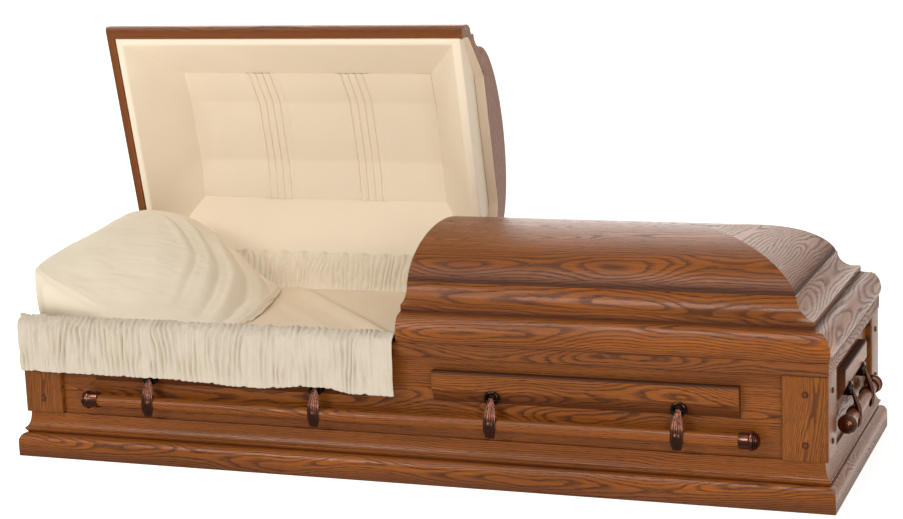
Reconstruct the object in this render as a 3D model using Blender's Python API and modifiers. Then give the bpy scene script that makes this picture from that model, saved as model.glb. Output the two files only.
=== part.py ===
"""Oak coffin of the half-couch kind: the head lid stands open, the foot lid is closed.

Units are metres, +Z is up. X runs along the coffin with the head at -X and the foot at +X, the front
faces -Y, and the origin is the middle of the underside. "Inset" is a distance in from the outline of
the base, and every section below is a list of (inset, height) points. A moving piece hangs under an
empty that stands on its joint's axis.
"""
import bpy
import bmesh
from math import acos, cos, pi, radians, sin, sqrt
from mathutils import Matrix, Vector

# Overall sizes
LENGTH = 2.130
WIDTH = 0.750
GAP = 0.0003                    # between two pieces that touch
HALF_L = LENGTH / 2
HALF_W = WIDTH / 2

# Base moulding: a rounded plinth, a notch, then a cove up to the boards
BASE_H = 0.115
PLINTH_FACE_H = 0.037
PLINTH_ROUND_IN = 0.0205
PLINTH_TOP = 0.0608
COVE_TIP_IN = 0.0141
COVE_TIP_LOW = 0.0700
COVE_TIP_TOP = 0.0739
COVE_TOP_IN = 0.0285
BOTTOM_T = 0.018                # bottom board, flush with the underside

# Case boards and the cap moulding on them
BOARD_IN = 0.035
BOARD_T = 0.020
BOARD_H = 0.202
CAP_IN = 0.0185
CAP_H = 0.0319
BOARD_Z = BASE_H + GAP
BOARD_TOP = BOARD_Z + BOARD_H
CAP_Z = BOARD_TOP + GAP
CAP_TOP = CAP_Z + CAP_H
CASE_INNER_IN = BOARD_IN + BOARD_T

# Corner posts, which wrap the corners, with two round plugs on each face
POST_IN = 0.020
POST_WIDTH = 0.107
POST_EDGE = 0.005
PLUG_R = 0.0065
PLUG_H = 0.0035
PLUG_FROM_END = 0.043
PLUG_OFF_EDGE = 0.053

# Raised panels: a flat face over a slope that runs back to the board
PANEL_PROUD = 0.0185
PANEL_BOTTOM = BOARD_Z + 0.0907
PANEL_EDGE_Z = BOARD_Z + 0.1247
PANEL_TOP = BOARD_Z + 0.1692
PANEL_X_IN = 0.087              # long panels start this far from the middle
PANEL_TO_POST = 0.098
PANEL_X_OUT = HALF_L - POST_IN - POST_WIDTH - PANEL_TO_POST
END_PANEL_HALF = HALF_W - POST_IN - POST_WIDTH - PANEL_TO_POST

# Lids. The profile goes up from the parting line: bead, riser, cove, crown
SPLIT_X = -0.003
SPLIT_GAP = 0.003
LID_GAP = 0.0005
LID_Z = CAP_TOP + LID_GAP
LID_H = 0.235
RIM_IN = 0.0192
BEAD_IN = 0.0136
BEAD_LOW = 0.0137
BEAD_TOP = 0.0650
BEAD_TOP_IN = 0.0420
RISER_LOW = 0.0700
RISER_TOP = 0.0854
RISER_IN = 0.0586
COVE_END_IN = 0.1087
COVE_END = 0.1317
CROWN_IN = 0.1137
CROWN_LOW = 0.1382
CROWN_SPREAD = 0.0087           # how far the crown's ellipse is wider than the crown
LID_WALL = 0.018
RIM_FACE = 0.0218
CAVITY_RIM_H = 0.035
CAVITY_SLOPE_IN = 0.128
CAVITY_SLOPE_H = 0.107
CROWN_STEPS = 7
HEADER_T = 0.027                # arched board that closes each lid at the split

# Opening in the header board, as (half width, height over the lid's lower edge)
OPENING_IN = 0.050
OPENING_LOW = 0.041
OPENING_TOP_HALF = 0.187
OPENING_TOP = 0.125

# Lining of the head lid: a flat border, sloping sides and a centre of three facets
LINING_T = 0.004
LINING_FIT = 0.0015
BORDER = 0.021
CENTRE_HALF_W = 0.188
CENTRE_DEPTH = 0.130
FACET_HALF_W = 0.087
FACET_DEPTH = 0.170
SLOPE_RUN_HEAD = 0.106
SLOPE_RUN_SPLIT = 0.120
FASCIA_RIM = 0.008
FASCIA_TOP = 0.027
SPLIT_BORDER = 0.026

# Continuous hinge along the back
HINGE_R = 0.0024
LEAF_T = 0.0012
LEAF_H = 0.026
HINGE_END = 0.060
HINGE_Y = HALF_W - CAP_IN + HINGE_R + GAP
HINGE_Z = CAP_TOP + 0.0002
HEAD_LID_OPEN = 77.2            # degrees from closed

# Swing handles: a wooden bar in leaf-shaped arms, hung from round lugs
BAR_R = 0.015
BAR_IN = 0.006
BAR_Z = BOARD_Z + 0.0467
BAR_SIDES = 12
BAR_TO_POST = 0.047             # from a ferrule's tip to the corner post
END_BAR_TO_POST = 0.043
LONG_SHIFT = 0.011
ARM_FROM_END = 0.179            # from the bar's end to the outer arm
END_ARM_FROM_END = 0.099
PIN_IN = 0.0165
PIN_Z = BOARD_Z + 0.1032
PIN_R = 0.0025
PIN_HALF = 0.0195
PIN_STANDOUT = 0.0025           # how far the pin is pushed to one side
PIN_FIT = 0.0004
KNUCKLE_R = 0.0060
KNUCKLE_HALF = 0.0045
LUG_R = 0.019
LUG_Z = BOARD_Z + 0.1082
LUG_FACE_IN = 0.0105
SLOT_FIT = 0.001
COLLAR_WALL = 0.0035
COLLAR_HALF = 0.008
LEAF_GAP = 0.0006
LEAF_FRONT = 0.0042             # metal in front of the bar
LEAF_RISE = 0.007               # leaf above the pin
LEAF_DROP = 0.032               # leaf below the bar's axis
LEAF_HALF = 0.0155
FERRULE_WALL = 0.0035
FERRULE_RING = 0.0040           # ring over the sleeve
FERRULE_SLEEVE = 0.034
FERRULE_DOME = 0.014
LONG_BAR_HALF = HALF_L - POST_IN - POST_WIDTH - BAR_TO_POST - LONG_SHIFT - FERRULE_DOME
END_BAR_HALF = HALF_W - POST_IN - POST_WIDTH - END_BAR_TO_POST - FERRULE_DOME
LONG_ARMS = tuple((LONG_BAR_HALF - ARM_FROM_END) * share for share in (-1, -1 / 3, 1 / 3, 1))
END_ARMS = tuple((END_BAR_HALF - END_ARM_FROM_END) * share for share in (-1, 1))

# Bed, pillow and the cloth over the front rim
BED_SIDE = 0.004
BED_TOP = BOARD_Z + 0.2047
BED_EDGE = 0.010
PILLOW_OVER_RIM = 0.030         # how far it swells over the head rim
PILLOW_LENGTH = 0.540
PILLOW_FRONT_CLEAR = 0.017
PILLOW_BACK_CLEAR = 0.030
PILLOW_HIGH = 0.215
PILLOW_HEAD_X = -(HALF_L - CASE_INNER_IN + PILLOW_OVER_RIM)
PILLOW_FOOT_X = PILLOW_HEAD_X + PILLOW_LENGTH
PILLOW_FRONT_Y = -(HALF_W - CASE_INNER_IN - PILLOW_FRONT_CLEAR)
PILLOW_BACK_Y = HALF_W - CASE_INNER_IN - PILLOW_BACK_CLEAR
CLOTH_T = 0.0115
CLOTH_OFF = 0.0038              # from the cap's face to the cloth's inner side
CLOTH_HEM_Z = BOARD_Z + 0.1137
CLOTH_RISE = 0.0230
CLOTH_LEG = 0.016
CLOTH_HEAD_IN = 0.022
CLOTH_HEAD_X = -(HALF_L - CLOTH_HEAD_IN)


def clear_scene():
    """Empty the file, so that the coffin stands alone."""
    for thing in list(bpy.data.objects):
        bpy.data.objects.remove(thing, do_unlink=True)


def make_collection(name):
    """A collection linked to the scene."""
    collection = bpy.data.collections.new(name)
    bpy.context.scene.collection.children.link(collection)
    return collection


def make_material(name, colour, roughness, metallic=0.0):
    """A plain Principled material."""
    material = bpy.data.materials.new(name)
    material.use_nodes = True
    shader = material.node_tree.nodes["Principled BSDF"]
    shader.inputs["Base Color"].default_value = (*colour, 1.0)
    shader.inputs["Roughness"].default_value = roughness
    shader.inputs["Metallic"].default_value = metallic
    return material


clear_scene()
PARTS = make_collection("oak_coffin")
TOOLS = make_collection("cutters")
OAK = make_material("stained_oak", (0.27, 0.115, 0.042), 0.38)
CREAM = make_material("cream_cloth", (0.86, 0.77, 0.62), 0.85)
COPPER = make_material("antique_copper", (0.46, 0.23, 0.15), 0.35, 1.0)
BRONZE = make_material("dark_bronze", (0.09, 0.07, 0.06), 0.35, 1.0)


def mesh_object(name, verts, faces, material=None, parent=None):
    """A closed mesh from points and faces, in the parts, or in the cutters when it has no material."""
    mesh = bpy.data.meshes.new(name)
    work = bmesh.new()
    points = [work.verts.new(v) for v in verts]
    for face in faces:
        work.faces.new([points[i] for i in face])
    bmesh.ops.remove_doubles(work, verts=work.verts, dist=1e-6)
    bmesh.ops.recalc_face_normals(work, faces=work.faces)
    work.to_mesh(mesh)
    work.free()
    return place(bpy.data.objects.new(name, mesh), material, parent)


def place(thing, material, parent=None):
    """Put an object in its collection, with its material and its parent."""
    if material is None:
        TOOLS.objects.link(thing)
        thing.hide_render = True
        thing.display_type = 'WIRE'
    else:
        PARTS.objects.link(thing)
        thing.data.materials.append(material)
    thing.parent = parent
    return thing


def box(name, low, high, material=None, parent=None):
    """A box between two corners."""
    mesh = bpy.data.meshes.new(name)
    work = bmesh.new()
    bmesh.ops.create_cube(work, size=1.0)
    size = Vector(high) - Vector(low)
    bmesh.ops.scale(work, vec=size, verts=work.verts)
    bmesh.ops.translate(work, vec=Vector(low) + size / 2, verts=work.verts)
    work.to_mesh(mesh)
    work.free()
    return place(bpy.data.objects.new(name, mesh), material, parent)


def cylinder(name, radius, half, centre, axis='X', sides=12, material=None, parent=None):
    """A cylinder about a centre, along X, Y or Z."""
    turn = {'X': Matrix.Rotation(pi / 2, 4, 'Y'), 'Y': Matrix.Rotation(pi / 2, 4, 'X'), 'Z': Matrix()}
    mesh = bpy.data.meshes.new(name)
    work = bmesh.new()
    bmesh.ops.create_cone(work, cap_ends=True, segments=sides, radius1=radius, radius2=radius,
                          depth=2 * half)
    bmesh.ops.transform(work, matrix=Matrix.Translation(centre) @ turn[axis], verts=work.verts)
    work.to_mesh(mesh)
    work.free()
    return place(bpy.data.objects.new(name, mesh), material, parent)


def prism(name, section, x_low, x_high, material=None, parent=None):
    """A (y, z) section carried straight along X."""
    count = len(section)
    verts = [(x, y, z) for x in (x_low, x_high) for y, z in section]
    sides = [(i, (i + 1) % count, count + (i + 1) % count, count + i) for i in range(count)]
    caps = [tuple(range(count)), tuple(range(count, 2 * count))]
    return mesh_object(name, verts, sides + caps, material, parent)


def loft(name, rings, material=None, parent=None):
    """A skin through closed rings of equal count, with flat ends."""
    count = len(rings[0])
    verts = [point for ring in rings for point in ring]
    faces = [tuple(range(count)), tuple(range(len(verts) - count, len(verts)))]
    for r in range(len(rings) - 1):
        for i in range(count):
            j = (i + 1) % count
            a, b = r * count, (r + 1) * count
            faces.append((a + i, a + j, b + j, b + i))
    return mesh_object(name, verts, faces, material, parent)


def boolean(thing, cutter, operation='DIFFERENCE'):
    """Add one exact Boolean to an object."""
    modifier = thing.modifiers.new(cutter.name, 'BOOLEAN')
    modifier.operation = operation
    modifier.solver = 'EXACT'
    modifier.object = cutter


def bevel(thing, width, segments=1, angle=30.0):
    """Round the edges that are sharper than the angle."""
    modifier = thing.modifiers.new("edges", 'BEVEL')
    modifier.width = width
    modifier.segments = segments
    modifier.limit_method = 'ANGLE'
    modifier.angle_limit = radians(angle)


def empty(name, location, turn_z=0.0):
    """An empty to hang pieces on."""
    thing = bpy.data.objects.new(name, None)
    PARTS.objects.link(thing)
    thing.location = location
    thing.rotation_euler = (0.0, 0.0, turn_z)
    return thing


def mitred_frame(name, section, material):
    """A moulding carried round the coffin's outline with mitred corners.

    Each point of the closed section is set in from the outline by its inset at all four corners.
    """
    count = len(section)
    verts = []
    for side_x, side_y in ((1, 1), (-1, 1), (-1, -1), (1, -1)):
        verts += [(side_x * (HALF_L - i), side_y * (HALF_W - i), z) for i, z in section]
    faces = []
    for corner in range(4):
        a, b = corner * count, (corner + 1) % 4 * count
        for i in range(count):
            j = (i + 1) % count
            faces.append((a + i, a + j, b + j, b + i))
    return mesh_object(name, verts, faces, material)


def quarter(start, end, steps, hollow=False):
    """Points of a quarter ellipse from start to end, both included.

    A round one leaves the start upright, and a hollow one leaves it level.
    """
    points = []
    for k in range(steps + 1):
        t = pi / 2 * k / steps
        across, up = (sin(t), 1 - cos(t)) if hollow else (1 - cos(t), sin(t))
        points.append((start[0] + (end[0] - start[0]) * across, start[1] + (end[1] - start[1]) * up))
    return points


def base_section():
    """Section of the base moulding."""
    plinth = quarter((0.0, PLINTH_FACE_H), (PLINTH_ROUND_IN, PLINTH_TOP), 4)
    cove = quarter((COVE_TIP_IN, COVE_TIP_TOP), (COVE_TOP_IN, BASE_H), 4, hollow=True)
    inner = CASE_INNER_IN
    return [(0.0, 0.0)] + plinth + [(COVE_TIP_IN, COVE_TIP_LOW)] + cove + [(inner, BASE_H), (inner, 0.0)]


def crown_points(wall, start_in):
    """The crown's ellipse as (inset, height over the lid's lower edge), up to the ridge."""
    half = HALF_W - CROWN_IN
    across = half + CROWN_SPREAD
    rise = (LID_H - CROWN_LOW) / (1 - sqrt(1 - (half / across) ** 2))
    centre = LID_H - rise
    first = acos((HALF_W - start_in) / (across - wall))
    points = []
    for k in range(CROWN_STEPS + 1):
        t = first + (pi / 2 - first) * k / CROWN_STEPS
        points.append((HALF_W - (across - wall) * cos(t), centre + (rise - wall) * sin(t)))
    return points


def lid_profile():
    """Outside of a lid from the parting line to the ridge."""
    bead = quarter((BEAD_IN, BEAD_LOW), (BEAD_TOP_IN, BEAD_TOP), 4)
    cove = quarter((RISER_IN, RISER_TOP), (COVE_END_IN, COVE_END), 4, hollow=True)
    points = [(RIM_IN, 0.0)] + bead + [(RISER_IN, RISER_LOW)] + cove + [(CROWN_IN, COVE_END)]
    return points + crown_points(0.0, CROWN_IN)


def cavity_profile():
    """Inside of a lid, from just under the parting line to the ridge."""
    rim = RIM_IN + RIM_FACE
    slope = [(rim, -0.01), (rim, CAVITY_RIM_H), (CAVITY_SLOPE_IN, CAVITY_SLOPE_H)]
    return slope + crown_points(LID_WALL, CROWN_IN + LID_WALL * 1.2)


def lid_block(name, profile, x_cut, side, material=None, parent=None):
    """A solid under a profile that runs along the back, round the end and along the front.

    side is +1 at the foot and -1 at the head, and x_cut is the square end at the split.
    """
    verts = []
    for inset, height in profile:
        y, x_end, z = max(HALF_W - inset, 0.0), side * (HALF_L - inset), LID_Z + height
        verts += [(x_cut, y, z), (x_end, y, z), (x_end, -y, z), (x_cut, -y, z)]
    levels = len(profile)
    faces = [(0, 1, 2, 3)]
    for level in range(levels - 1):
        for i in range(3):
            a, b = 4 * level + i, 4 * (level + 1) + i
            faces.append((a, a + 1, b + 1, b))
    rise = [4 * level for level in range(levels)]
    fall = [4 * level + 3 for level in reversed(range(levels - 1))]
    faces.append(tuple(rise + fall))
    top = 4 * (levels - 1)
    ridge = {top + 3: top, top + 2: top + 1}
    faces = [tuple(dict.fromkeys(ridge.get(i, i) for i in face)) for face in faces]
    return mesh_object(name, verts[:top + 2] + [verts[top + 1], verts[top]],
                       [face for face in faces if len(face) > 2], material, parent)


def opening_section(fit=0.0):
    """The header's opening as (y, height), drawn from the front rim over the top to the back."""
    rim = HALF_W - RIM_IN - RIM_FACE - fit
    low = (HALF_W - OPENING_IN - fit, OPENING_LOW - fit)
    top = (OPENING_TOP_HALF - fit, OPENING_TOP - fit)
    right = [(rim, 0.0), low, top]
    return [(-y, h) for y, h in right] + list(reversed(right))


def lid_shell(name, side, parent):
    """A hollow lid with an arched header board at the split."""
    x_cut = SPLIT_X + side * SPLIT_GAP / 2
    shell = lid_block(name, lid_profile(), x_cut, side, OAK, parent)
    boolean(shell, lid_block(name + "_hollow", cavity_profile(), x_cut + side * HEADER_T, side, None, parent))
    opening = [(y, LID_Z + h) for y, h in opening_section()]
    opening = [(opening[0][0], LID_Z - 0.01)] + opening + [(opening[-1][0], LID_Z - 0.01)]
    ends = sorted((x_cut - side * 0.01, x_cut + side * (HEADER_T + 0.001)))
    boolean(shell, prism(name + "_opening", opening, *ends, parent=parent))
    return shell


def lid_lining(name, parent):
    """Lining of the head lid: one thin shell of border, slopes, facets and the end at the split."""
    x_cut = SPLIT_X - SPLIT_GAP / 2
    rim = RIM_IN + RIM_FACE + LINING_FIT
    y_rim, x_head, x_split = HALF_W - rim, -(HALF_L - rim), x_cut - FASCIA_RIM
    x_in, x_out = x_head + BORDER, x_split - SPLIT_BORDER
    y_in = y_rim - BORDER
    deep = FACET_DEPTH / CENTRE_DEPTH

    def ring(x_low, x_high, y, z, x_low_mid=None, x_high_mid=None, y_mid=None, z_mid=None):
        """Eight points of one level: two corners and two mid points on each short side."""
        low_mid = x_low if x_low_mid is None else x_low_mid
        high_mid = x_high if x_high_mid is None else x_high_mid
        mid = y * FACET_HALF_W / CENTRE_HALF_W if y_mid is None else y_mid
        top = z if z_mid is None else z_mid
        return [(x_low, -y, z), (x_high, -y, z), (high_mid, -mid, top), (high_mid, mid, top),
                (x_high, y, z), (x_low, y, z), (low_mid, mid, top), (low_mid, -mid, top)]

    rings = [ring(x_head, x_split, y_rim, LID_Z), ring(x_in, x_out, y_in, LID_Z),
             ring(x_in + SLOPE_RUN_HEAD, x_out - SLOPE_RUN_SPLIT, CENTRE_HALF_W, LID_Z + CENTRE_DEPTH,
                  x_in + SLOPE_RUN_HEAD * deep, x_out - SLOPE_RUN_SPLIT * deep, FACET_HALF_W,
                  LID_Z + FACET_DEPTH)]
    verts = [point for level in rings for point in level]
    faces = [(r * 8 + i, r * 8 + (i + 1) % 8, r * 8 + 8 + (i + 1) % 8, r * 8 + 8 + i)
             for r in range(2) for i in range(8)]
    faces += [(16, 17, 18, 23), (23, 18, 19, 22), (22, 19, 20, 21)]
    slant = (FASCIA_TOP - FASCIA_RIM) / OPENING_TOP
    fascia = opening_section(fit=LINING_FIT + slant * LINING_T)[1:-1]
    start = len(verts)
    verts += [(x_split - slant * h, y, LID_Z + h) for y, h in fascia]
    faces.append((1, 2, 3, 4, start + 3, start + 2, start + 1, start))
    lining = mesh_object(name, verts, faces, CREAM, parent)
    thick = lining.modifiers.new("cloth_on_board", 'SOLIDIFY')
    thick.thickness = LINING_T
    thick.use_even_offset = True
    thick.offset = 1.0
    return lining


def corner_post(name, side_x, side_y):
    """An L-shaped post round one corner, with rounded outer edges and two domed plugs on each face.

    The outline is drawn as distances in from the corner, then placed on its side of the coffin.
    """
    back = BOARD_IN - GAP - POST_IN
    soft = POST_EDGE * (1 - sqrt(0.5))
    arm = [(POST_EDGE, 0.0), (POST_WIDTH - POST_EDGE, 0.0), (POST_WIDTH - soft, soft), (POST_WIDTH, POST_EDGE),
           (POST_WIDTH, back)]
    outline = arm + [(back, back)] + [(b, a) for a, b in reversed(arm)] + [(soft, soft)]
    x_out, y_out = side_x * (HALF_L - POST_IN), side_y * (HALF_W - POST_IN)
    z_low, z_high = BOARD_Z, CAP_Z - GAP
    rings = [[(x_out - side_x * a, y_out - side_y * b, z) for a, b in outline] for z in (z_low, z_high)]
    post = loft(name, rings, OAK)
    for z in (z_low + PLUG_FROM_END - 0.004, z_high - PLUG_FROM_END):
        on_side = (x_out - side_x * PLUG_OFF_EDGE, y_out, z)
        on_end = (x_out, y_out - side_y * PLUG_OFF_EDGE, z)
        boolean(post, dome(f"{name}_side_plug", on_side, 'Y', side_x, side_y), 'UNION')
        boolean(post, dome(f"{name}_end_plug", on_end, 'X', side_x, side_y), 'UNION')
    return post


def dome(name, spot, axis, side_x, side_y):
    """A low round plug head that stands out of a post's face."""
    out = Vector((side_x, 0, 0)) if axis == 'X' else Vector((0, side_y, 0))
    turn = out.to_track_quat('Z', 'Y').to_matrix().to_4x4()
    rings = []
    for radius, height in ((PLUG_R, -0.003), (PLUG_R, PLUG_H * 0.35), (PLUG_R * 0.6, PLUG_H)):
        ring = [Vector((radius * cos(a), radius * sin(a), height)) for a in (2 * pi * k / 8 for k in range(8))]
        rings.append([tuple(turn @ point + Vector(spot)) for point in ring])
    return loft(name, rings)


def case_boards():
    """Bottom, base moulding, the four boards, the cap moulding and the posts."""
    inner_l, inner_w = HALF_L - CASE_INNER_IN, HALF_W - CASE_INNER_IN
    box("bottom_board", (-inner_l + GAP, -inner_w + GAP, 0), (inner_l - GAP, inner_w - GAP, BOTTOM_T), OAK)
    mitred_frame("base_moulding", base_section(), OAK)
    outer_l, outer_w = HALF_L - BOARD_IN, HALF_W - BOARD_IN
    for name, side in (("front_board", -1), ("back_board", 1)):
        low, high = sorted((side * outer_w, side * inner_w))
        box(name, (-outer_l, low, BOARD_Z), (outer_l, high, BOARD_TOP), OAK)
    for name, side in (("head_end_board", -1), ("foot_end_board", 1)):
        low, high = sorted((side * outer_l, side * inner_l))
        box(name, (low, -inner_w + GAP, BOARD_Z), (high, inner_w - GAP, BOARD_TOP), OAK)
    cap = [(CAP_IN, CAP_Z), (CAP_IN, CAP_TOP), (CASE_INNER_IN, CAP_TOP), (CASE_INNER_IN, CAP_Z)]
    mitred_frame("cap_moulding", cap, OAK)
    for end, side_x in (("head", -1), ("foot", 1)):
        for long_side, side_y in (("front", -1), ("back", 1)):
            corner_post(f"{long_side}_{end}_corner_post", side_x, side_y)


def side_frames():
    """An empty for each side: its local -Y points out, and its local X runs along the side."""
    return {"front": empty("front_side", (0, -HALF_W, 0)),
            "foot": empty("foot_side", (HALF_L, 0, 0), pi / 2),
            "back": empty("back_side", (0, HALF_W, 0), pi),
            "head": empty("head_side", (-HALF_L, 0, 0), -pi / 2)}


def panel_section():
    """Section of a raised panel as (inset, height)."""
    back, face = BOARD_IN - GAP, BOARD_IN - PANEL_PROUD
    return [(back, PANEL_BOTTOM), (face, PANEL_EDGE_Z), (face, PANEL_TOP), (back, PANEL_TOP)]


def raised_panels(sides):
    """Two raised panels on each long side and one on each end."""
    section = panel_section()
    for side in ("front", "back"):
        foot_sign = 1 if side == "front" else -1
        for end, sign in (("foot", foot_sign), ("head", -foot_sign)):
            low, high = sorted((sign * PANEL_X_IN, sign * PANEL_X_OUT))
            prism(f"{side}_{end}_raised_panel", section, low, high, OAK, sides[side])
    for side in ("head", "foot"):
        prism(f"{side}_end_raised_panel", section, -END_PANEL_HALF, END_PANEL_HALF, OAK, sides[side])


def wall_cutter(name, along, parent):
    """The board and its raised panel, grown by the gap, to cut the back of a lug."""
    board, face = BOARD_IN - GAP, BOARD_IN - PANEL_PROUD - GAP
    section = [(board + 0.03, BASE_H), (board, BASE_H), (board, PANEL_BOTTOM - 2 * GAP), (face, PANEL_EDGE_Z - GAP),
               (face, PANEL_TOP), (board + 0.03, PANEL_TOP)]
    return prism(name, section, along - 0.04, along + 0.04, parent=parent)


def leaf_top():
    """Height of the leaf's top, and how far in from the outline its face lies there."""
    return PIN_Z + LEAF_RISE, LUG_FACE_IN - LEAF_GAP - 0.0022


def handle_lug(name, along, parent):
    """A round lug with a slot for the arm, which is as high as the arm's top swings, and the pin."""
    lug = cylinder(name, LUG_R, (BOARD_IN - LUG_FACE_IN) / 2, (along, (LUG_FACE_IN + BOARD_IN) / 2, LUG_Z), 'Y', 14,
                   BRONZE, parent)
    half = KNUCKLE_HALF + SLOT_FIT
    top_z, top_in = leaf_top()
    swing = sqrt((top_z - PIN_Z) ** 2 + (PIN_IN - top_in) ** 2) + SLOT_FIT
    slot = box(name + "_slot", (along - half, LUG_FACE_IN - 0.01, LUG_Z - LUG_R - 0.01),
               (along + half, BOARD_IN + 0.01, PIN_Z + swing), parent=parent)
    boolean(lug, slot)
    boolean(lug, wall_cutter(name + "_wall", along, parent))
    centre = (along + PIN_STANDOUT, PIN_IN, PIN_Z)
    boolean(lug, cylinder(name + "_pin", PIN_R, PIN_HALF, centre, 'X', 8, None, parent), 'UNION')
    return lug


def handle_arm(name, along, parent):
    """A leaf-shaped arm: a knuckle on the pin, a collar round the bar and the leaf in front of both.

    The leaf's stations go down the arm: height, inset of its face, half its width, its thickness.
    """
    back = LUG_FACE_IN - LEAF_GAP
    bore = (BAR_R + GAP) / cos(pi / BAR_SIDES)
    front = BAR_IN - BAR_R - LEAF_FRONT
    top_z, top_in = leaf_top()
    span = PIN_Z - BAR_Z
    wide = LEAF_HALF
    stations = ((top_z, top_in, KNUCKLE_HALF * 0.93, back - top_in),
                (PIN_Z - 0.004, back - 0.004, KNUCKLE_HALF + SLOT_FIT, 0.0040),
                (PIN_Z - span * 0.39, (back + 2 * front) / 3 + 0.003, wide * 0.66, 0.0075),
                (PIN_Z - span * 0.68, front + 0.0030, wide * 0.90, 0.0095),
                (BAR_Z - 0.006, front, wide, 0.0110),
                (BAR_Z - LEAF_DROP, front + 0.0070, wide * 0.45, 0.0060))
    shape = ((0.0, 0.0), (1.0, 0.30), (0.8, 1.0), (-0.8, 1.0), (-1.0, 0.30))
    rings = [[(along + half * u, face + thick * v, height) for u, v in shape]
             for height, face, half, thick in stations]
    arm = loft(name, rings, COPPER, parent)
    web = prism(name + "_web", [(back - 0.001, PIN_Z - 0.014), (back - 0.001, PIN_Z + KNUCKLE_R),
                                (PIN_IN, PIN_Z + KNUCKLE_R * 0.98), (PIN_IN, PIN_Z - KNUCKLE_R * 0.98)],
                along - KNUCKLE_HALF, along + KNUCKLE_HALF, parent=parent)
    on_pin, on_bar = (along, PIN_IN, PIN_Z), (along, BAR_IN, BAR_Z)
    boolean(arm, web, 'UNION')
    boolean(arm, cylinder(name + "_knuckle", KNUCKLE_R, KNUCKLE_HALF, on_pin, 'X', 10, None, parent), 'UNION')
    boolean(arm, cylinder(name + "_collar", bore + COLLAR_WALL, COLLAR_HALF, on_bar, 'X', 12, None, parent), 'UNION')
    boolean(arm, cylinder(name + "_bar_hole", bore, 0.03, on_bar, 'X', BAR_SIDES, None, parent))
    boolean(arm, cylinder(name + "_pin_hole", PIN_R + PIN_FIT, 0.03, on_pin, 'X', 8, None, parent))
    return arm


def ferrule(name, end_x, sign, parent):
    """A turned cap on the bar's end: a sleeve, a ring and a stepped dome.

    The profile is drawn for a cap that stands on +Z, then the object is laid along the bar.
    """
    bore = (BAR_R + GAP) / cos(pi / BAR_SIDES)
    sleeve = bore + FERRULE_WALL
    ring, seat = sleeve + FERRULE_RING, FERRULE_SLEEVE
    top = seat + FERRULE_DOME
    outside = [(0.0, top), (sleeve * 0.50, top - 0.0020), (sleeve * 0.80, top - 0.0070), (ring * 0.93, seat + 0.0025),
               (ring, seat), (ring, seat - 0.0050), (sleeve, seat - 0.0070), (sleeve, 0.0), (bore, 0.0),
               (bore, seat), (0.0, seat)]
    mesh = bpy.data.meshes.new(name)
    mesh.from_pydata([(r, 0.0, z) for r, z in outside], [(i, i + 1) for i in range(len(outside) - 1)], [])
    cap = place(bpy.data.objects.new(name, mesh), COPPER, parent)
    turn = cap.modifiers.new("turned", 'SCREW')
    turn.steps = turn.render_steps = BAR_SIDES
    turn.use_merge_vertices = True
    turn.merge_threshold = 0.0001
    cap.location = (end_x - sign * (seat - GAP), BAR_IN, BAR_Z)
    cap.rotation_euler = (0.0, sign * pi / 2, 0.0)
    return cap


def swing_handle(side, sides, half, arms, shift):
    """The lugs on the case, and the bar with its arms and ferrules under an empty on the pins' axis."""
    frame = sides[side]
    pivot = empty(f"{side}_handle_pivot", (0.0, PIN_IN, PIN_Z))
    pivot.parent = frame
    held = empty(f"{side}_handle_hold", (0.0, -PIN_IN, -PIN_Z))
    held.parent = pivot
    bar = cylinder(f"{side}_handle_bar", BAR_R, half, (shift, BAR_IN, BAR_Z), 'X', BAR_SIDES, OAK, held)
    for number, offset in enumerate(arms, 1):
        handle_lug(f"{side}_handle_lug_{number}", shift + offset, frame)
        handle_arm(f"{side}_handle_arm_{number}", shift + offset, held)
    for number, sign in ((1, -1), (2, 1)):
        ferrule(f"{side}_handle_ferrule_{number}", shift + sign * half, sign, held)
    return bar


def rear_hinge():
    """A continuous hinge: a barrel on the parting line and a leaf down the back of the cap."""
    half = HALF_L - RIM_IN - HINGE_END
    hinge = cylinder("lid_hinge", HINGE_R, half, (0.0, HINGE_Y, HINGE_Z), 'X', 8,
                     make_material("hinge_brass", (0.52, 0.38, 0.19), 0.4, 1.0))
    face = HALF_W - CAP_IN + GAP
    leaf = box("hinge_leaf", (-half, face, HINGE_Z - LEAF_H), (half, face + LEAF_T, HINGE_Z))
    boolean(hinge, leaf, 'UNION')


def soft_parts():
    """The bed, the pillow and the gathered cloth over the front rim, as plain closed solids."""
    inner_l, inner_w = HALF_L - CASE_INNER_IN - BED_SIDE, HALF_W - CASE_INNER_IN - BED_SIDE
    bed = box("mattress", (-inner_l, -inner_w, BOTTOM_T + GAP), (inner_l, inner_w, BED_TOP), CREAM)
    bevel(bed, BED_EDGE, segments=2)
    pillow()
    front_cloth()


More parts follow.
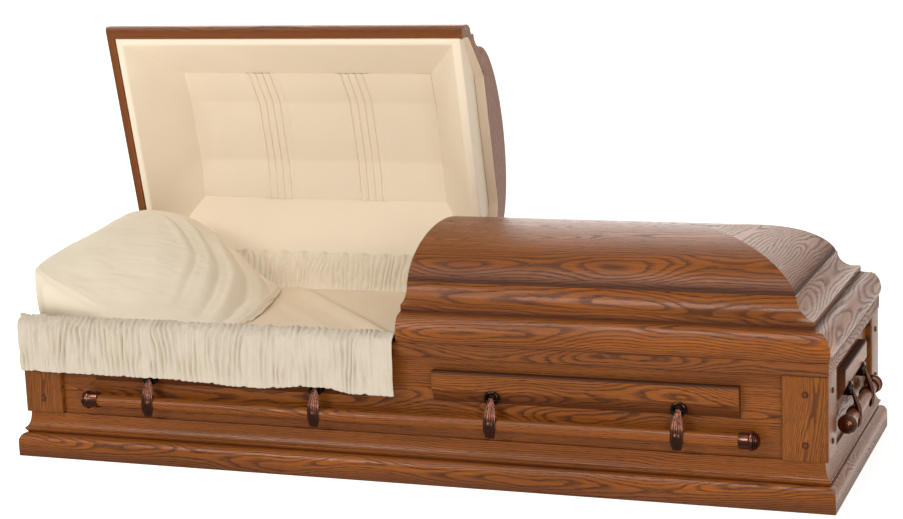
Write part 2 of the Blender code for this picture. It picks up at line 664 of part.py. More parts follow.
def pillow():
    """A boxed pillow, high at the head and sloping to the foot and the front, from a cage that is smoothed.

    The cage has five columns along X, four rows along Y and three levels: a flat bottom on the bed, a
    seam line where it is widest, and the top. Its head end swells over the rim.
    """
    base = BED_TOP + GAP
    length, depth = PILLOW_FOOT_X - PILLOW_HEAD_X, PILLOW_BACK_Y - PILLOW_FRONT_Y
    across = (0.0, 0.30, 0.74, 1.0)
    along = (0.0, 0.20, 0.48, 0.76, 1.0)
    tops = ((0.84, 1.06, 1.12, 0.98), (0.62, 1.04, 1.14, 1.06), (0.27, 0.76, 0.88, 0.74),
            (0.13, 0.40, 0.46, 0.38), (0.06, 0.12, 0.12, 0.10))
    low_in = (PILLOW_OVER_RIM + 0.030, 0.0, 0.0, 0.0, -0.030)
    verts, order = [], {}
    for level in range(3):
        pull = (0.030, 0.0, 0.045)[level]
        for c, u in enumerate(along):
            for r, v in enumerate(across):
                if level == 1 and 0 < c < 4 and 0 < r < 3:
                    continue
                x = PILLOW_HEAD_X + length * u + pull * (0.5 - u) * length + (low_in[c] if level == 0 else 0.0)
                y = PILLOW_FRONT_Y + depth * v + pull * (0.5 - v) * depth
                order[level, c, r] = len(verts)
                verts.append((x, y, base + tops[c][r] * PILLOW_HIGH * (0.0, 0.45, 1.0)[level]))
    faces = []
    for level in (0, 2):
        faces += [[(level, c, r), (level, c + 1, r), (level, c + 1, r + 1), (level, c, r + 1)]
                  for c in range(4) for r in range(3)]
    for level in (0, 1):
        faces += [[(level, c, r), (level, c + 1, r), (level + 1, c + 1, r), (level + 1, c, r)]
                  for c in range(4) for r in (0, 3)]
        faces += [[(level, c, r), (level, c, r + 1), (level + 1, c, r + 1), (level + 1, c, r)]
                  for c in (0, 4) for r in range(3)]
    shape = mesh_object("pillow", verts, [[order[corner] for corner in face] for face in faces], CREAM)
    smooth = shape.modifiers.new("soft", 'SUBSURF')
    smooth.levels = smooth.render_levels = 1


def front_cloth():
    """The gathered cloth that hangs over the front rim of the head half, as one bent slab.

    Its hem stands off the handle's lugs.
    """
    inner = -(HALF_W - CAP_IN + CLOTH_OFF)
    hem_in = -(HALF_W - LUG_FACE_IN + GAP)
    outer = hem_in - CLOTH_T
    rim = -(HALF_W - CASE_INNER_IN - GAP * 3)
    over = CAP_TOP + GAP
    base = BED_TOP + GAP
    lug_top = LUG_Z + LUG_R + GAP
    middle = (inner + rim) / 2
    section = [(hem_in, CLOTH_HEM_Z), (hem_in, lug_top), (inner, lug_top + 0.008), (inner, over), (rim, over),
               (rim, base), (rim + CLOTH_LEG, base), (rim + CLOTH_LEG * 0.8, over - 0.008),
               (rim + CLOTH_LEG * 0.4, over + CLOTH_RISE * 0.45), (rim - 0.004, over + CLOTH_RISE * 0.88),
               (middle, over + CLOTH_RISE), (inner + 0.003, over + CLOTH_RISE * 0.90),
               (outer + 0.006, over + CLOTH_RISE * 0.45), (outer + 0.001, over - 0.008), (outer, CLOTH_HEM_Z + 0.003),
               (outer + 0.003, CLOTH_HEM_Z)]
    cloth = prism("front_cloth", section, CLOTH_HEAD_X, SPLIT_X - SPLIT_GAP / 2, CREAM)
    head_rim = box("cloth_over_head_rim", (-HALF_L, rim - GAP, base - 0.01),
                   (-(HALF_L - CASE_INNER_IN - GAP), rim + CLOTH_LEG + 0.01, over + GAP / 2))
    boolean(cloth, head_rim)
    return cloth


def head_lid():
    """The head lid with its lining, made closed and then turned open about the hinge."""
    axis = empty("head_lid_hinge_axis", (0.0, HINGE_Y, HINGE_Z))
    hold = empty("head_lid_hold", (0.0, -HINGE_Y, -HINGE_Z))
    hold.parent = axis
    lid_shell("head_lid", -1, hold)
    lid_lining("head_lid_lining", hold)
    axis.rotation_euler = (-radians(HEAD_LID_OPEN), 0.0, 0.0)


def foot_lid():
    """The foot lid, closed on the case, under an empty on the hinge's axis."""
    axis = empty("foot_lid_hinge_axis", (0.0, HINGE_Y, HINGE_Z))
    hold = empty("foot_lid_hold", (0.0, -HINGE_Y, -HINGE_Z))
    hold.parent = axis
    lid_shell("foot_lid", 1, hold)


case_boards()
SIDES = side_frames()
raised_panels(SIDES)
swing_handle("front", SIDES, LONG_BAR_HALF, LONG_ARMS, LONG_SHIFT)
swing_handle("back", SIDES, LONG_BAR_HALF, LONG_ARMS, -LONG_SHIFT)
swing_handle("head", SIDES, END_BAR_HALF, END_ARMS, 0.0)
swing_handle("foot", SIDES, END_BAR_HALF, END_ARMS, 0.0)
rear_hinge()
soft_parts()
head_lid()
foot_lid()
bpy.context.view_layer.update()
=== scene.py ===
"""An oak coffin of the half-couch kind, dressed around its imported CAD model.

Units are metres. The head is at -X, the foot at +X, the front faces -Y and the underside is at z = 0.
"""
# %% [markdown]
# # An oak coffin with its head lid open
# The solids of the coffin come in as a fixed frame: boards, mouldings, two lids, handles and plain
# blocks for the soft things. This notebook gives each of them the surface that the real one shows.
# Numbers that repeat the solids' sizes come first, because every piece below is built on them.

# %% Load the frame
from math import acos, cos, pi, radians, sin, sqrt

import bmesh
import bpy
import numpy as np
from mathutils import Matrix, Vector


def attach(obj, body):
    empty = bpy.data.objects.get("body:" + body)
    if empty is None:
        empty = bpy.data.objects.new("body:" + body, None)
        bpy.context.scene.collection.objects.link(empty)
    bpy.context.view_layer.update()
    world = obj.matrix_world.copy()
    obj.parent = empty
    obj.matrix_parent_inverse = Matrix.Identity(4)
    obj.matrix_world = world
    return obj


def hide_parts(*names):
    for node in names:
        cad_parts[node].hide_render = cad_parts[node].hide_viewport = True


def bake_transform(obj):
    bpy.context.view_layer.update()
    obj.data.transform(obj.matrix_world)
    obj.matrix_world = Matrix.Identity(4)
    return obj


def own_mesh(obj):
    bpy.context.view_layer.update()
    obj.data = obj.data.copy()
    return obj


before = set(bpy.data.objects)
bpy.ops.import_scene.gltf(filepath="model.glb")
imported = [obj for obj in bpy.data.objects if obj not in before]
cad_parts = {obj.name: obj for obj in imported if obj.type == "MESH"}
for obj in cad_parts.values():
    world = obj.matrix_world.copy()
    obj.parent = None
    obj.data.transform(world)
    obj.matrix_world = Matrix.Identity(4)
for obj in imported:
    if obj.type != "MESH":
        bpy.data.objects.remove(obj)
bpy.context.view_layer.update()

HALF_L, HALF_W = 1.065, 0.375
BOARD_Z, BOARD_TOP = 0.1153, 0.3173
CAP_Z, CAP_TOP = 0.3176, 0.3495
LID_Z = 0.350
SPLIT_X, SPLIT_GAP, HEADER_T = -0.003, 0.003, 0.027
HINGE_Y, HINGE_Z, HEAD_LID_OPEN = 0.3592, 0.3497, 77.2

# %% [markdown]
# ## The camera
# A photograph of a long object is taken from some way off with a longer lens, so that its near end
# does not swell. The camera's axes are worked out from three turns: left, down and a small roll.

# %% Camera
CAMERA_AT = Vector((1.9014, -5.0626, 1.5896))
YAW, PITCH, ROLL = 0.356127, -0.202270, -0.0392007
FRAME_WIDTH, FOCAL = 903, 2159.57


def camera_axes(yaw, pitch, roll):
    """Right, up and back as columns: the view starts along +Y, turns left, then up, then rolls."""
    forward = Vector((-sin(yaw) * cos(pitch), cos(yaw) * cos(pitch), sin(pitch)))
    right = Vector((cos(yaw), sin(yaw), 0.0))
    up = right.cross(forward)
    across = cos(roll) * right + sin(roll) * up
    upward = cos(roll) * up - sin(roll) * right
    return Matrix((across, upward, -forward)).transposed()


lens = bpy.data.cameras.new("camera")
lens.sensor_width = 36.0
lens.lens = FOCAL * lens.sensor_width / FRAME_WIDTH
camera = bpy.data.objects.new("camera", lens)
camera.matrix_world = Matrix.Translation(CAMERA_AT) @ camera_axes(YAW, PITCH, ROLL).to_4x4()
bpy.context.scene.collection.objects.link(camera)
bpy.context.scene.camera = camera
print("lens", round(lens.lens, 1), "mm")

# %% [markdown]
# ## Node helpers
# A material is a small graph. One helper adds a node, sets its plain inputs and links the ones that
# are given as another node's socket, so that each recipe below reads like a formula.

# %% Node helpers


def add(tree, kind, inputs=None, **settings):
    """Add a node; inputs maps a socket's name or number to a value or to a socket to link."""
    node = tree.nodes.new("ShaderNode" + kind)
    for key, value in settings.items():
        setattr(node, key, value)
    for key, value in (inputs or {}).items():
        if isinstance(value, bpy.types.NodeSocket):
            tree.links.new(value, node.inputs[key])
        else:
            node.inputs[key].default_value = value
    return node


def math(tree, operation, a, b=0.0, clamp=False):
    """One arithmetic step, as a socket."""
    return add(tree, "Math", {0: a, 1: b}, operation=operation, use_clamp=clamp).outputs[0]


def vector(tree, x, y, z):
    """Three numbers or sockets as one vector socket."""
    return add(tree, "CombineXYZ", {0: x, 1: y, 2: z}).outputs[0]


def noise(tree, place, scale=1.0, detail=2.0, rough=0.5):
    """Smooth noise between about 0.3 and 0.7, as a socket."""
    settings = {"Vector": place, "Scale": scale, "Detail": detail, "Roughness": rough}
    return add(tree, "TexNoise", settings).outputs["Fac"]


def ramp(tree, value, low, high, smooth=True):
    """0 below low and 1 above high; low may be the larger one."""
    kind = 'SMOOTHSTEP' if smooth else 'LINEAR'
    settings = {"Value": value, "From Min": low, "From Max": high}
    return add(tree, "MapRange", settings, interpolation_type=kind, clamp=True).outputs[0]


def mix(tree, amount, a, b, blend='MIX'):
    """Mix or blend two colours, as a socket."""
    node = add(tree, "Mix", {0: amount}, data_type='RGBA', blend_type=blend)
    for key, value in ((6, a), (7, b)):
        if isinstance(value, bpy.types.NodeSocket):
            tree.links.new(value, node.inputs[key])
        else:
            node.inputs[key].default_value = value
    return node.outputs[2]


def new_group(name, inputs, outputs):
    """A node group with named sockets: pairs of (name, kind), the inputs with a default value too."""
    group = bpy.data.node_groups.new(name, 'ShaderNodeTree')
    for label, kind, value in inputs:
        socket = group.interface.new_socket(name=label, in_out='INPUT', socket_type='NodeSocket' + kind)
        if value is not None:
            socket.default_value = value
    for label, kind in outputs:
        group.interface.new_socket(name=label, in_out='OUTPUT', socket_type='NodeSocket' + kind)
    return group, group.nodes.new("NodeGroupInput").outputs, group.nodes.new("NodeGroupOutput").inputs


def placed(tree, group, inputs):
    """Place a group in a material, with its inputs set or linked."""
    node = tree.nodes.new("ShaderNodeGroup")
    node.node_tree = group
    for key, value in inputs.items():
        if isinstance(value, bpy.types.NodeSocket):
            tree.links.new(value, node.inputs[key])
        else:
            node.inputs[key].default_value = value
    return node.outputs


def new_material(name):
    """An empty material: its tree and its Principled shader."""
    material = bpy.data.materials.new(name)
    material.use_nodes = True
    return material, material.node_tree, material.node_tree.nodes["Principled BSDF"]


# %% [markdown]
# ## Oak grain
# A board cut along a tree shows its yearly rings as long arches: they are slices through cones. So
# the group works out the distance of a point from a wandering heart line under the board, and cuts
# it into rings. Each ring starts with a band of open pores that holds the dark stain. A wide face is
# glued from planks, so the group first finds which plank a point is in.

# %% Oak grain group
def oak_grain():
    """Colour, roughness and height from (along, across, plank number).

    distance = sqrt(across^2 + depth^2), where the heart's place across and its depth drift slowly
    along the board; ring = fraction(distance / ring width); pores are short dark ticks.
    """
    group, source, sink = new_group(
        "oak grain",
        [("Place", "Vector", None), ("Light", "Color", (0.30, 0.13, 0.045, 1)),
         ("Dark", "Color", (0.10, 0.035, 0.012, 1)), ("Ring width", "Float", 0.0045),
         ("Heart depth", "Float", 0.05), ("Plank width", "Float", 9.0)],
        [("Color", "Color"), ("Roughness", "Float"), ("Height", "Float")])
    parts = add(group, "SeparateXYZ", {0: source["Place"]}).outputs
    along = parts[0]
    count = math(group, 'ROUND', math(group, 'DIVIDE', parts[1], source["Plank width"]))
    across = math(group, 'SUBTRACT', parts[1], math(group, 'MULTIPLY', count, source["Plank width"]))
    plank = math(group, 'ADD', parts[2], math(group, 'MULTIPLY', count, 7.3))

    def streaks(by_along, by_across, detail=2.0):
        """Noise drawn out along the board, at (along * by_along, across * by_across, plank)."""
        spot = vector(group, math(group, 'MULTIPLY', along, by_along), math(group, 'MULTIPLY', across, by_across), plank)
        return noise(group, spot, detail=detail)

    drift = streaks(1.3, 2.0)
    heart = math(group, 'MULTIPLY', math(group, 'SUBTRACT', drift, 0.5), 0.22)
    sideways = math(group, 'ADD', across, heart)
    rise = noise(group, vector(group, math(group, 'MULTIPLY', along, 1.9), 3.7, plank), detail=1.0)
    depth = math(group, 'MULTIPLY', source["Heart depth"], ramp(group, rise, 0.28, 0.72, smooth=False))
    squared = math(group, 'ADD', math(group, 'MULTIPLY', sideways, sideways),
                   math(group, 'MULTIPLY', depth, depth))
    far = math(group, 'SQRT', squared)
    ripple = streaks(9.0, 30.0, 3.0)
    far = math(group, 'ADD', far, math(group, 'MULTIPLY', math(group, 'SUBTRACT', ripple, 0.5), 0.008))
    ring = math(group, 'FRACT', math(group, 'DIVIDE', far, source["Ring width"]))
    early = math(group, 'MAXIMUM', ramp(group, ring, 0.55, 0.02), ramp(group, ring, 0.88, 1.0))
    tick = streaks(30.0, 900.0)
    pore = ramp(group, tick, 0.53, 0.66)
    fibre = streaks(3.0, 260.0, 3.0)
    tone = streaks(2.2, 7.0)
    stain = math(group, 'MULTIPLY', early, math(group, 'ADD', 0.58, math(group, 'MULTIPLY', pore, 0.60)))
    stain = math(group, 'ADD', stain, math(group, 'MULTIPLY', pore, 0.34), clamp=True)
    colour = mix(group, stain, source["Light"], source["Dark"])
    shade = math(group, 'ADD', 0.17, math(group, 'MULTIPLY', fibre, 0.95))
    shade = math(group, 'ADD', shade, math(group, 'MULTIPLY', tone, 0.66))
    colour = mix(group, 1.0, colour, vector(group, shade, shade, shade), 'MULTIPLY')
    group.links.new(colour, sink["Color"])
    group.links.new(math(group, 'ADD', 0.27, math(group, 'MULTIPLY', stain, 0.22)), sink["Roughness"])
    carved = math(group, 'ADD', math(group, 'MULTIPLY', pore, 0.7), math(group, 'MULTIPLY', early, 0.3))
    group.links.new(math(group, 'MULTIPLY', carved, -1.0), sink["Height"])
    return group


OAK_GRAIN = oak_grain()


def oak(name, place=None, light=(0.285, 0.080, 0.0100), dark=(0.044, 0.0105, 0.0024), heart=0.05, ring=0.0045, width=9.0):
    """Stained oak. place makes the grain's vector in the material's tree; by default it is read
    from the piece's own 'grain' attribute, and 'glaze' darkens the recesses and some
    edges: partly the finisher's stain, partly painted shade."""
    material, tree, shader = new_material(name)
    if place is None:
        where = add(tree, "Attribute", attribute_name="grain").outputs["Vector"]
    else:
        where = place(tree)
    wood = placed(tree, OAK_GRAIN, {"Place": where, "Light": (*light, 1), "Dark": (*dark, 1),
                                    "Heart depth": heart, "Ring width": ring, "Plank width": width})
    glaze = add(tree, "Attribute", attribute_name="glaze").outputs["Fac"]
    # Partly stain, partly painted shade: this dark colour is laid where the mask marks recesses and shadowed edges.
    colour = mix(tree, glaze, wood["Color"], (0.048, 0.0105, 0.0026, 1))
    tree.links.new(colour, shader.inputs["Base Color"])
    dull = math(tree, 'ADD', wood["Roughness"], math(tree, 'MULTIPLY', glaze, 0.35), clamp=True)
    tree.links.new(dull, shader.inputs["Roughness"])
    bump = add(tree, "Bump", {"Strength": 0.20, "Distance": 0.0005, "Height": wood["Height"]})
    tree.links.new(bump.outputs[0], shader.inputs["Normal"])
    shader.inputs["Specular IOR Level"].default_value = 0.34
    return material


def object_grain(along, across, plank, shift=0.0):
    """A maker of grain vectors from Object coordinates, for a board that is a plain CAD solid."""
    def place(tree):
        parts = add(tree, "SeparateXYZ", {0: add(tree, "TexCoord").outputs["Object"]}).outputs
        return vector(tree, parts[along], math(tree, 'SUBTRACT', parts[across], shift), plank)
    return place


OAK = oak("stained_oak")
print("oak grain:", len(OAK_GRAIN.nodes), "nodes")

# %% [markdown]
# ## Meshes from arrays
# Each new surface is a grid of points worked out at once with numpy. A part is its points, its
# faces, and for oak two more columns: where each point lies in its plank, and how dark it is made
# there, partly for the stain the finisher's rag left and partly as painted shade in recesses and
# under overhangs. Several parts can make one piece, as four mitred runs make a frame.

# %% Mesh helpers


def grid_faces(rows, columns, around=False):
    """Quads between neighbours of a grid whose points are listed row by row."""
    last = columns if around else columns - 1
    i, j = np.meshgrid(np.arange(rows - 1), np.arange(last), indexing="ij")
    k = (j + 1) % columns
    return np.stack([i * columns + j, i * columns + k, (i + 1) * columns + k, (i + 1) * columns + j], -1).reshape(-1, 4)


def part(points, faces, grain=None, glaze=None):
    """One part of a piece, with its points in a row."""
    points = np.asarray(points, float).reshape(-1, 3)
    grain = np.zeros_like(points) if grain is None else np.asarray(grain, float).reshape(-1, 3)
    glaze = np.zeros(len(points)) if glaze is None else np.asarray(glaze, float).reshape(-1)
    return points, [list(map(int, face)) for face in faces], grain, glaze


def piece(name, parts, material, angle=32.0, recalc=True, body="case", stands_for=(), uv=None):
    """One object out of parts: merged, its faces pointing out, smooth but for edges over the angle."""
    points = np.concatenate([p[0] for p in parts])
    starts = np.cumsum([0] + [len(p[0]) for p in parts[:-1]])
    faces = [[v + int(start) for v in face] for p, start in zip(parts, starts) for face in p[1]]
    mesh = bpy.data.meshes.new(name)
    mesh.from_pydata(points.tolist(), [], faces)
    grain = np.concatenate([p[2] for p in parts]).astype(np.float32)
    glaze = np.concatenate([p[3] for p in parts]).astype(np.float32)
    mesh.attributes.new("grain", 'FLOAT_VECTOR', 'POINT').data.foreach_set("vector", grain.ravel())
    # This darkening column is partly stain or patina in hollows and partly painted shade in recesses and under
    # overhangs.
    mesh.attributes.new("glaze", 'FLOAT', 'POINT').data.foreach_set("value", glaze)
    if recalc:
        work = bmesh.new()
        work.from_mesh(mesh)
        bmesh.ops.recalc_face_normals(work, faces=work.faces)
        work.to_mesh(mesh)
        work.free()
    mesh.validate()
    mesh.shade_smooth()
    mesh.set_sharp_from_angle(angle=radians(angle))
    mesh.materials.append(material)
    thing = bpy.data.objects.new(name, mesh)
    bpy.context.scene.collection.objects.link(thing)
    if body:
        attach(thing, body)
    if stands_for:
        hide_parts(*stands_for)
    return thing


def swept(rings, grain=None, glaze=None, closed_ends=True):
    """A skin through equal rings, an array (ring, point, 3), with flat ends."""
    count, around = rings.shape[:2]
    faces = grid_faces(count, around, around=True).tolist()
    if closed_ends:
        faces += [list(range(around)), list(range((count - 1) * around, count * around))]
    return part(rings, faces, grain, glaze)


# %% [markdown]
# ## Mouldings
# A moulding is a cutter's profile pushed along a stick of wood. Here a profile is a list of points
# (inset from the coffin's outline, height, darkening for stain and painted shade), its corners are
# eased by a tiny curve, and each stick is mitred where the next begins. The grain follows the stick
# and flows round its profile.

# %% Profiles and sticks


def eased(section, radius=0.0012):
    """Replace each corner of a closed section by three points of a small curve.

    A corner P between neighbours A and B becomes P + t(A - P), the curve's middle and P + t(B - P),
    where t leaves at least half of a short edge alone.
    """
    section = np.asarray(section, float)
    before, after = np.roll(section, 1, axis=0), np.roll(section, -1, axis=0)
    ends = []
    for other in (before, after):
        gap = np.linalg.norm((other - section)[:, :2], axis=1, keepdims=True)
        ends.append(section + (other - section) * np.minimum(radius / np.maximum(gap, 1e-9), 0.4))
    middle = 0.25 * ends[0] + 0.5 * section + 0.25 * ends[1]
    return np.stack([ends[0], middle, ends[1]], 1).reshape(-1, section.shape[1])


def curve(start, end, steps, hollow=False):
    """A quarter ellipse from start to end; a round one leaves upright, and a hollow one level."""
    t = np.linspace(0, pi / 2, steps + 1)
    across, up = (np.sin(t), 1 - np.cos(t)) if hollow else (1 - np.cos(t), np.sin(t))
    inset = start[0] + (end[0] - start[0]) * across
    height = start[1] + (end[1] - start[1]) * up
    return [(a, b, 0.0) for a, b in zip(inset, height)]


SIDES = {"front": ((1, 0), (0, -1)), "foot": ((0, 1), (1, 0)), "back": ((-1, 0), (0, 1)), "head": ((0, -1), (-1, 0))}


def stick(section, side, plank, low=None, high=None, steps=2):
    """A section carried along one side of the coffin.

    A point lies at outward * (half depth - inset) + along * run, where run goes from the low to the
    high end; an end with no place is mitred, so it lies at half length - inset.
    """
    (ax, ay), (ox, oy) = SIDES[side]
    half_long, half_deep = (HALF_L, HALF_W) if ax else (HALF_W, HALF_L)
    inset, height, glaze = np.asarray(section, float).T
    first = -(half_long - inset) if low is None else np.full_like(inset, low)
    last = half_long - inset if high is None else np.full_like(inset, high)
    share = np.linspace(0, 1, steps)[:, None]
    run = first + (last - first) * share
    out = np.broadcast_to(half_deep - inset, run.shape)
    rings = np.stack([ax * run + ox * out, ay * run + oy * out, np.broadcast_to(height, run.shape)], -1)
    legs = np.hypot(np.diff(inset), np.diff(height))
    round_it = np.concatenate([[0], np.cumsum(legs)])
    grain = np.stack([run + plank * 3.1, np.broadcast_to(round_it - round_it.mean() * 0.5, run.shape),
                      np.full(run.shape, float(plank))], -1)
    return swept(rings, grain, np.broadcast_to(glaze, run.shape))


def opened(parts, degrees):
    """The same parts turned about the back hinge: y and z swing from closed to open."""
    c, s = cos(radians(degrees)), sin(radians(degrees))
    turned = []
    for points, faces, grain, glaze in parts:
        y, z = points[:, 1] - HINGE_Y, points[:, 2] - HINGE_Z
        moved = np.stack([points[:, 0], HINGE_Y + y * c + z * s, HINGE_Z - y * s + z * c], -1)
        turned.append((moved, faces, grain, glaze))
    return turned


# %% [markdown]
# ## Base, boards and cap
# The base is the heaviest moulding: a rounded plinth, a notch and a cove that runs up to the case.
# The cap is a plain square-edged rail. Both are four sticks with a hairline at each mitre.

# %% Base moulding and cap
# Full darkening at the concave corners of the profiles: stain with painted shade.
GLAZE_AND_SHADE = 0.75
# Third column: the plinth grows darker towards the bottom, and the notch is darkened as stain with painted shade.
base_section = ([(0.0, 0.0, 0.55), (0.0, 0.020, 0.30), (0.0, 0.034, 0.05)]
                + curve((0.0, 0.037), (0.0205, 0.0608), 12) + [(0.0205, 0.0609, GLAZE_AND_SHADE), (0.0141, 0.0700, 0.2)]
                + curve((0.0141, 0.0739), (0.0285, 0.115), 14, hollow=True)
                + [(0.055, 0.115, GLAZE_AND_SHADE), (0.055, 0.0, 0.0)])
cap_section = [(0.0185, CAP_Z, 0.25), (0.0185, CAP_TOP, 0.25), (0.055, CAP_TOP, 0.0), (0.055, CAP_Z, 0.0)]
base = [stick(eased(base_section), side, k + 1, steps=40) for k, side in enumerate(SIDES)]
cap = [stick(eased(cap_section, 0.002), side, k + 6, steps=40) for k, side in enumerate(SIDES)]
piece("base_moulding_oak", base, OAK, stands_for=["base_moulding"])
piece("cap_moulding_oak", cap, OAK, stands_for=["cap_moulding"])


# %% Boards
BOARD_GRAINS = {"front_board": (0, 2, 11.3, 0.20), "back_board": (0, 2, 12.7, 0.24), "head_end_board": (1, 2, 13.1, 0.22),
                "foot_end_board": (1, 2, 14.9, 0.19), "bottom_board": (0, 1, 15.5, 0.0)}
for node, (along, across, plank, shift) in BOARD_GRAINS.items():
    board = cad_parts[node]
    board.data.materials.clear()
    board.data.materials.append(oak(node + "_oak", object_grain(along, across, plank, shift)))

# %% [markdown]
# ## Raised panels
# A raised panel is a board planed down round its edge. On this coffin only the lower edge slopes;
# the top and the ends are cut square. The downward slope is painted darker towards its foot, and the
# square top edge is painted dark as the shade under the lid's overhang, with some stain in the corners.

# %% Raised panels
# Third column: the slope is painted shade, darkest at its foot with some stain in the corner; the square top edge, 0.75
# to 1.0, is painted shade from the lid's overhang.
panel_section = [(0.0347, 0.2060, 0.7), (0.0175, 0.2385, 0.34), (0.0165, 0.2405, 0.0), (0.0165, 0.2770, 0.0),
                 (0.0165, 0.2805, 0.75), (0.0165, 0.2830, 0.9), (0.0170, 0.2845, 1.0), (0.0347, 0.2845, 1.0)]
LONG_SPANS, END_SPANS = ((-0.840, -0.087), (0.087, 0.840)), ((-0.15, 0.15),)
PANELS = {"front": (("front_head", "front_foot"), LONG_SPANS), "back": (("back_foot", "back_head"), LONG_SPANS),
          "head": (("head_end",), END_SPANS), "foot": (("foot_end",), END_SPANS)}
for side, (ends, spans) in PANELS.items():
    for number, (end, (low, high)) in enumerate(zip(ends, spans)):
        shape = [stick(eased(panel_section, 0.0015), side, 20 + len(end) + number, low, high, steps=16)]
        piece(end + "_raised_panel_oak", shape, OAK, stands_for=[end + "_raised_panel"])

# %% [markdown]
# ## Corner posts
# The four corners are boxed in by posts whose grain stands upright. Their long edges are rounded
# over, and round plugs hide the screws.

# %% Corner posts
POST_IN, POST_BACK, POST_WIDE, POST_ROUND = 0.020, 0.0347, 0.107, 0.005
OAK_UPRIGHT = oak("stained_oak_upright", heart=0.03, light=(0.262, 0.078, 0.0100))


def post_outline():
    """The post's L as distances in from its corner, with round outer edges."""
    t = np.linspace(0, pi / 2, 6)
    r, wide, back = POST_ROUND, POST_WIDE, POST_BACK - POST_IN
    corner = np.stack([r - r * np.sin(t), r - r * np.cos(t)], -1)[::-1]
    edge = np.stack([wide - r + r * np.sin(t), r - r * np.cos(t)], -1)
    arm = np.concatenate([edge, [[wide, back], [back, back]]])
    other = arm[:-1][::-1][:, ::-1]
    return np.concatenate([corner, arm, other])


def plug(x, y, z, out):
    """A round plug with a low domed head, darker all over and darkest in a ring about its edge."""
    t = np.linspace(0, 2 * pi, 24, endpoint=False)
    radii = np.array([0.0085, 0.0078, 0.0068, 0.0062, 0.0045, 0.0022, 0.0004])
    rises = np.array([-0.001, 0.0005, 0.0008, 0.0026, 0.0036, 0.0041, 0.0042])
    out = np.array(out, float)
    side = np.array([-out[1], out[0], 0.0])
    up = np.array([0.0, 0.0, 1.0])
    ring = np.cos(t)[:, None] * side + np.sin(t)[:, None] * up
    rings = np.array([x, y, z]) + radii[:, None, None] * ring + rises[:, None, None] * out
    grain = np.stack([rings[..., 2], rings @ side, np.full(rings.shape[:2], 2.0 + z)], -1)
    glaze = np.broadcast_to(np.array([1, 1, 1, 0.55, 0.5, 0.5, 0.5])[:, None], rings.shape[:2])
    return swept(rings, grain, glaze)


def corner_post(name, sx, sy, plank):
    """One post: its outline carried up, eased at both ends, and four plugs."""
    flat = post_outline()
    x_corner, y_corner = sx * (HALF_L - POST_IN), sy * (HALF_W - POST_IN)
    rise, shrink = np.array([0.0, 0.0006, 0.0018, 0.0040, 0.0900]), np.array([0.0038, 0.0020, 0.0007, 0.0, 0.0])
    heights, shrink = np.append(BOARD_Z + rise, CAP_Z - 0.0003 - rise[::-1]), np.append(shrink, shrink[::-1])
    rings, grains = [], []
    for height, inward in zip(heights, shrink):
        x = x_corner - sx * np.maximum(flat[:, 0], inward)
        y = y_corner - sy * np.maximum(flat[:, 1], inward)
        rings.append(np.stack([x, y, np.full(len(flat), height)], -1))
        around = np.where(flat[:, 0] > flat[:, 1], flat[:, 0], -flat[:, 1])
        grains.append(np.stack([np.full(len(flat), height), around - 0.05, np.full(len(flat), float(plank))], -1))
    parts = [swept(np.array(rings), np.array(grains))]
    for z in (BOARD_Z + 0.039, CAP_Z - 0.0433):
        parts.append(plug(x_corner - sx * 0.053, y_corner, z, (0, sy, 0)))
        parts.append(plug(x_corner, y_corner - sy * 0.053, z, (sx, 0, 0)))
    return piece(name + "_oak", parts, OAK_UPRIGHT, angle=40, stands_for=[name])


for k, (end, sx) in enumerate((("head", -1), ("foot", 1))):
    for m, (long_side, sy) in enumerate((("front", -1), ("back", 1))):
        corner_post(f"{long_side}_{end}_corner_post", sx, sy, 31 + 2 * k + m)

# %% [markdown]
# ## The lids
# Each lid is three mitred sticks, front, back and end, glued to an arched header board at the
# split. The profile climbs a fat bead, a short riser and a cove to the crown, which is an arc of an
# ellipse. Inside, the shell follows the outside at the thickness of the wood.

# %% Lid profile
CROWN_IN, CROWN_SPREAD, LID_H, CROWN_LOW, LID_WALL = 0.1137, 0.0087, 0.235, 0.1382, 0.018


def crown(wall, start_in, steps):
    """Points of the crown's ellipse from its foot to the ridge, a wall's thickness in."""
    half = HALF_W - CROWN_IN
    across = half + CROWN_SPREAD
    rise = (LID_H - CROWN_LOW) / (1 - sqrt(1 - (half / across) ** 2))
    centre = LID_H - rise
    t = np.linspace(acos((HALF_W - start_in) / (across - wall)), pi / 2, steps + 1)
    # Stain with painted shade: the crown darkens over its first steps up from the cove, where a lamp's highlight would
    # otherwise lie.
    foot_stain_and_shade = 0.95 * np.exp(-np.arange(steps + 1) / (0.085 * steps))
    return [(HALF_W - (across - wall) * np.cos(a), centre + (rise - wall) * np.sin(a), g) for a, g in zip(t, foot_stain_and_shade)]


lid_outside = ([(0.0192, 0.0, 0.3)] + curve((0.0136, 0.0137), (0.0420, 0.0650), 18) + [(0.0586, 0.0700, GLAZE_AND_SHADE)]
               + curve((0.0586, 0.0854), (0.1087, 0.1317), 18, hollow=True) + [(0.1120, 0.1325, GLAZE_AND_SHADE)]
               + crown(0.0, CROWN_IN, 40))
lid_inside = [(0.041, 0.0, 0.0), (0.041, 0.035, 0.0), (0.128, 0.107, 0.0)] + crown(LID_WALL, 0.1353, 16)
lid_section = np.array(lid_outside + lid_inside[::-1]) + (0.0, LID_Z, 0.0)


def lid_sticks(side, plank):
    """The three mitred sticks of a lid; side is +1 at the foot and -1 at the head."""
    start = SPLIT_X + side * (SPLIT_GAP / 2 + 0.0003)
    front = {"low": start} if side > 0 else {"high": start}
    back = {"high": -start} if side > 0 else {"low": -start}
    return [stick(lid_section, "front", plank, steps=24, **front), stick(lid_section, "back", plank + 1, steps=24, **back),
            stick(lid_section, "foot" if side > 0 else "head", plank + 2, steps=12)]


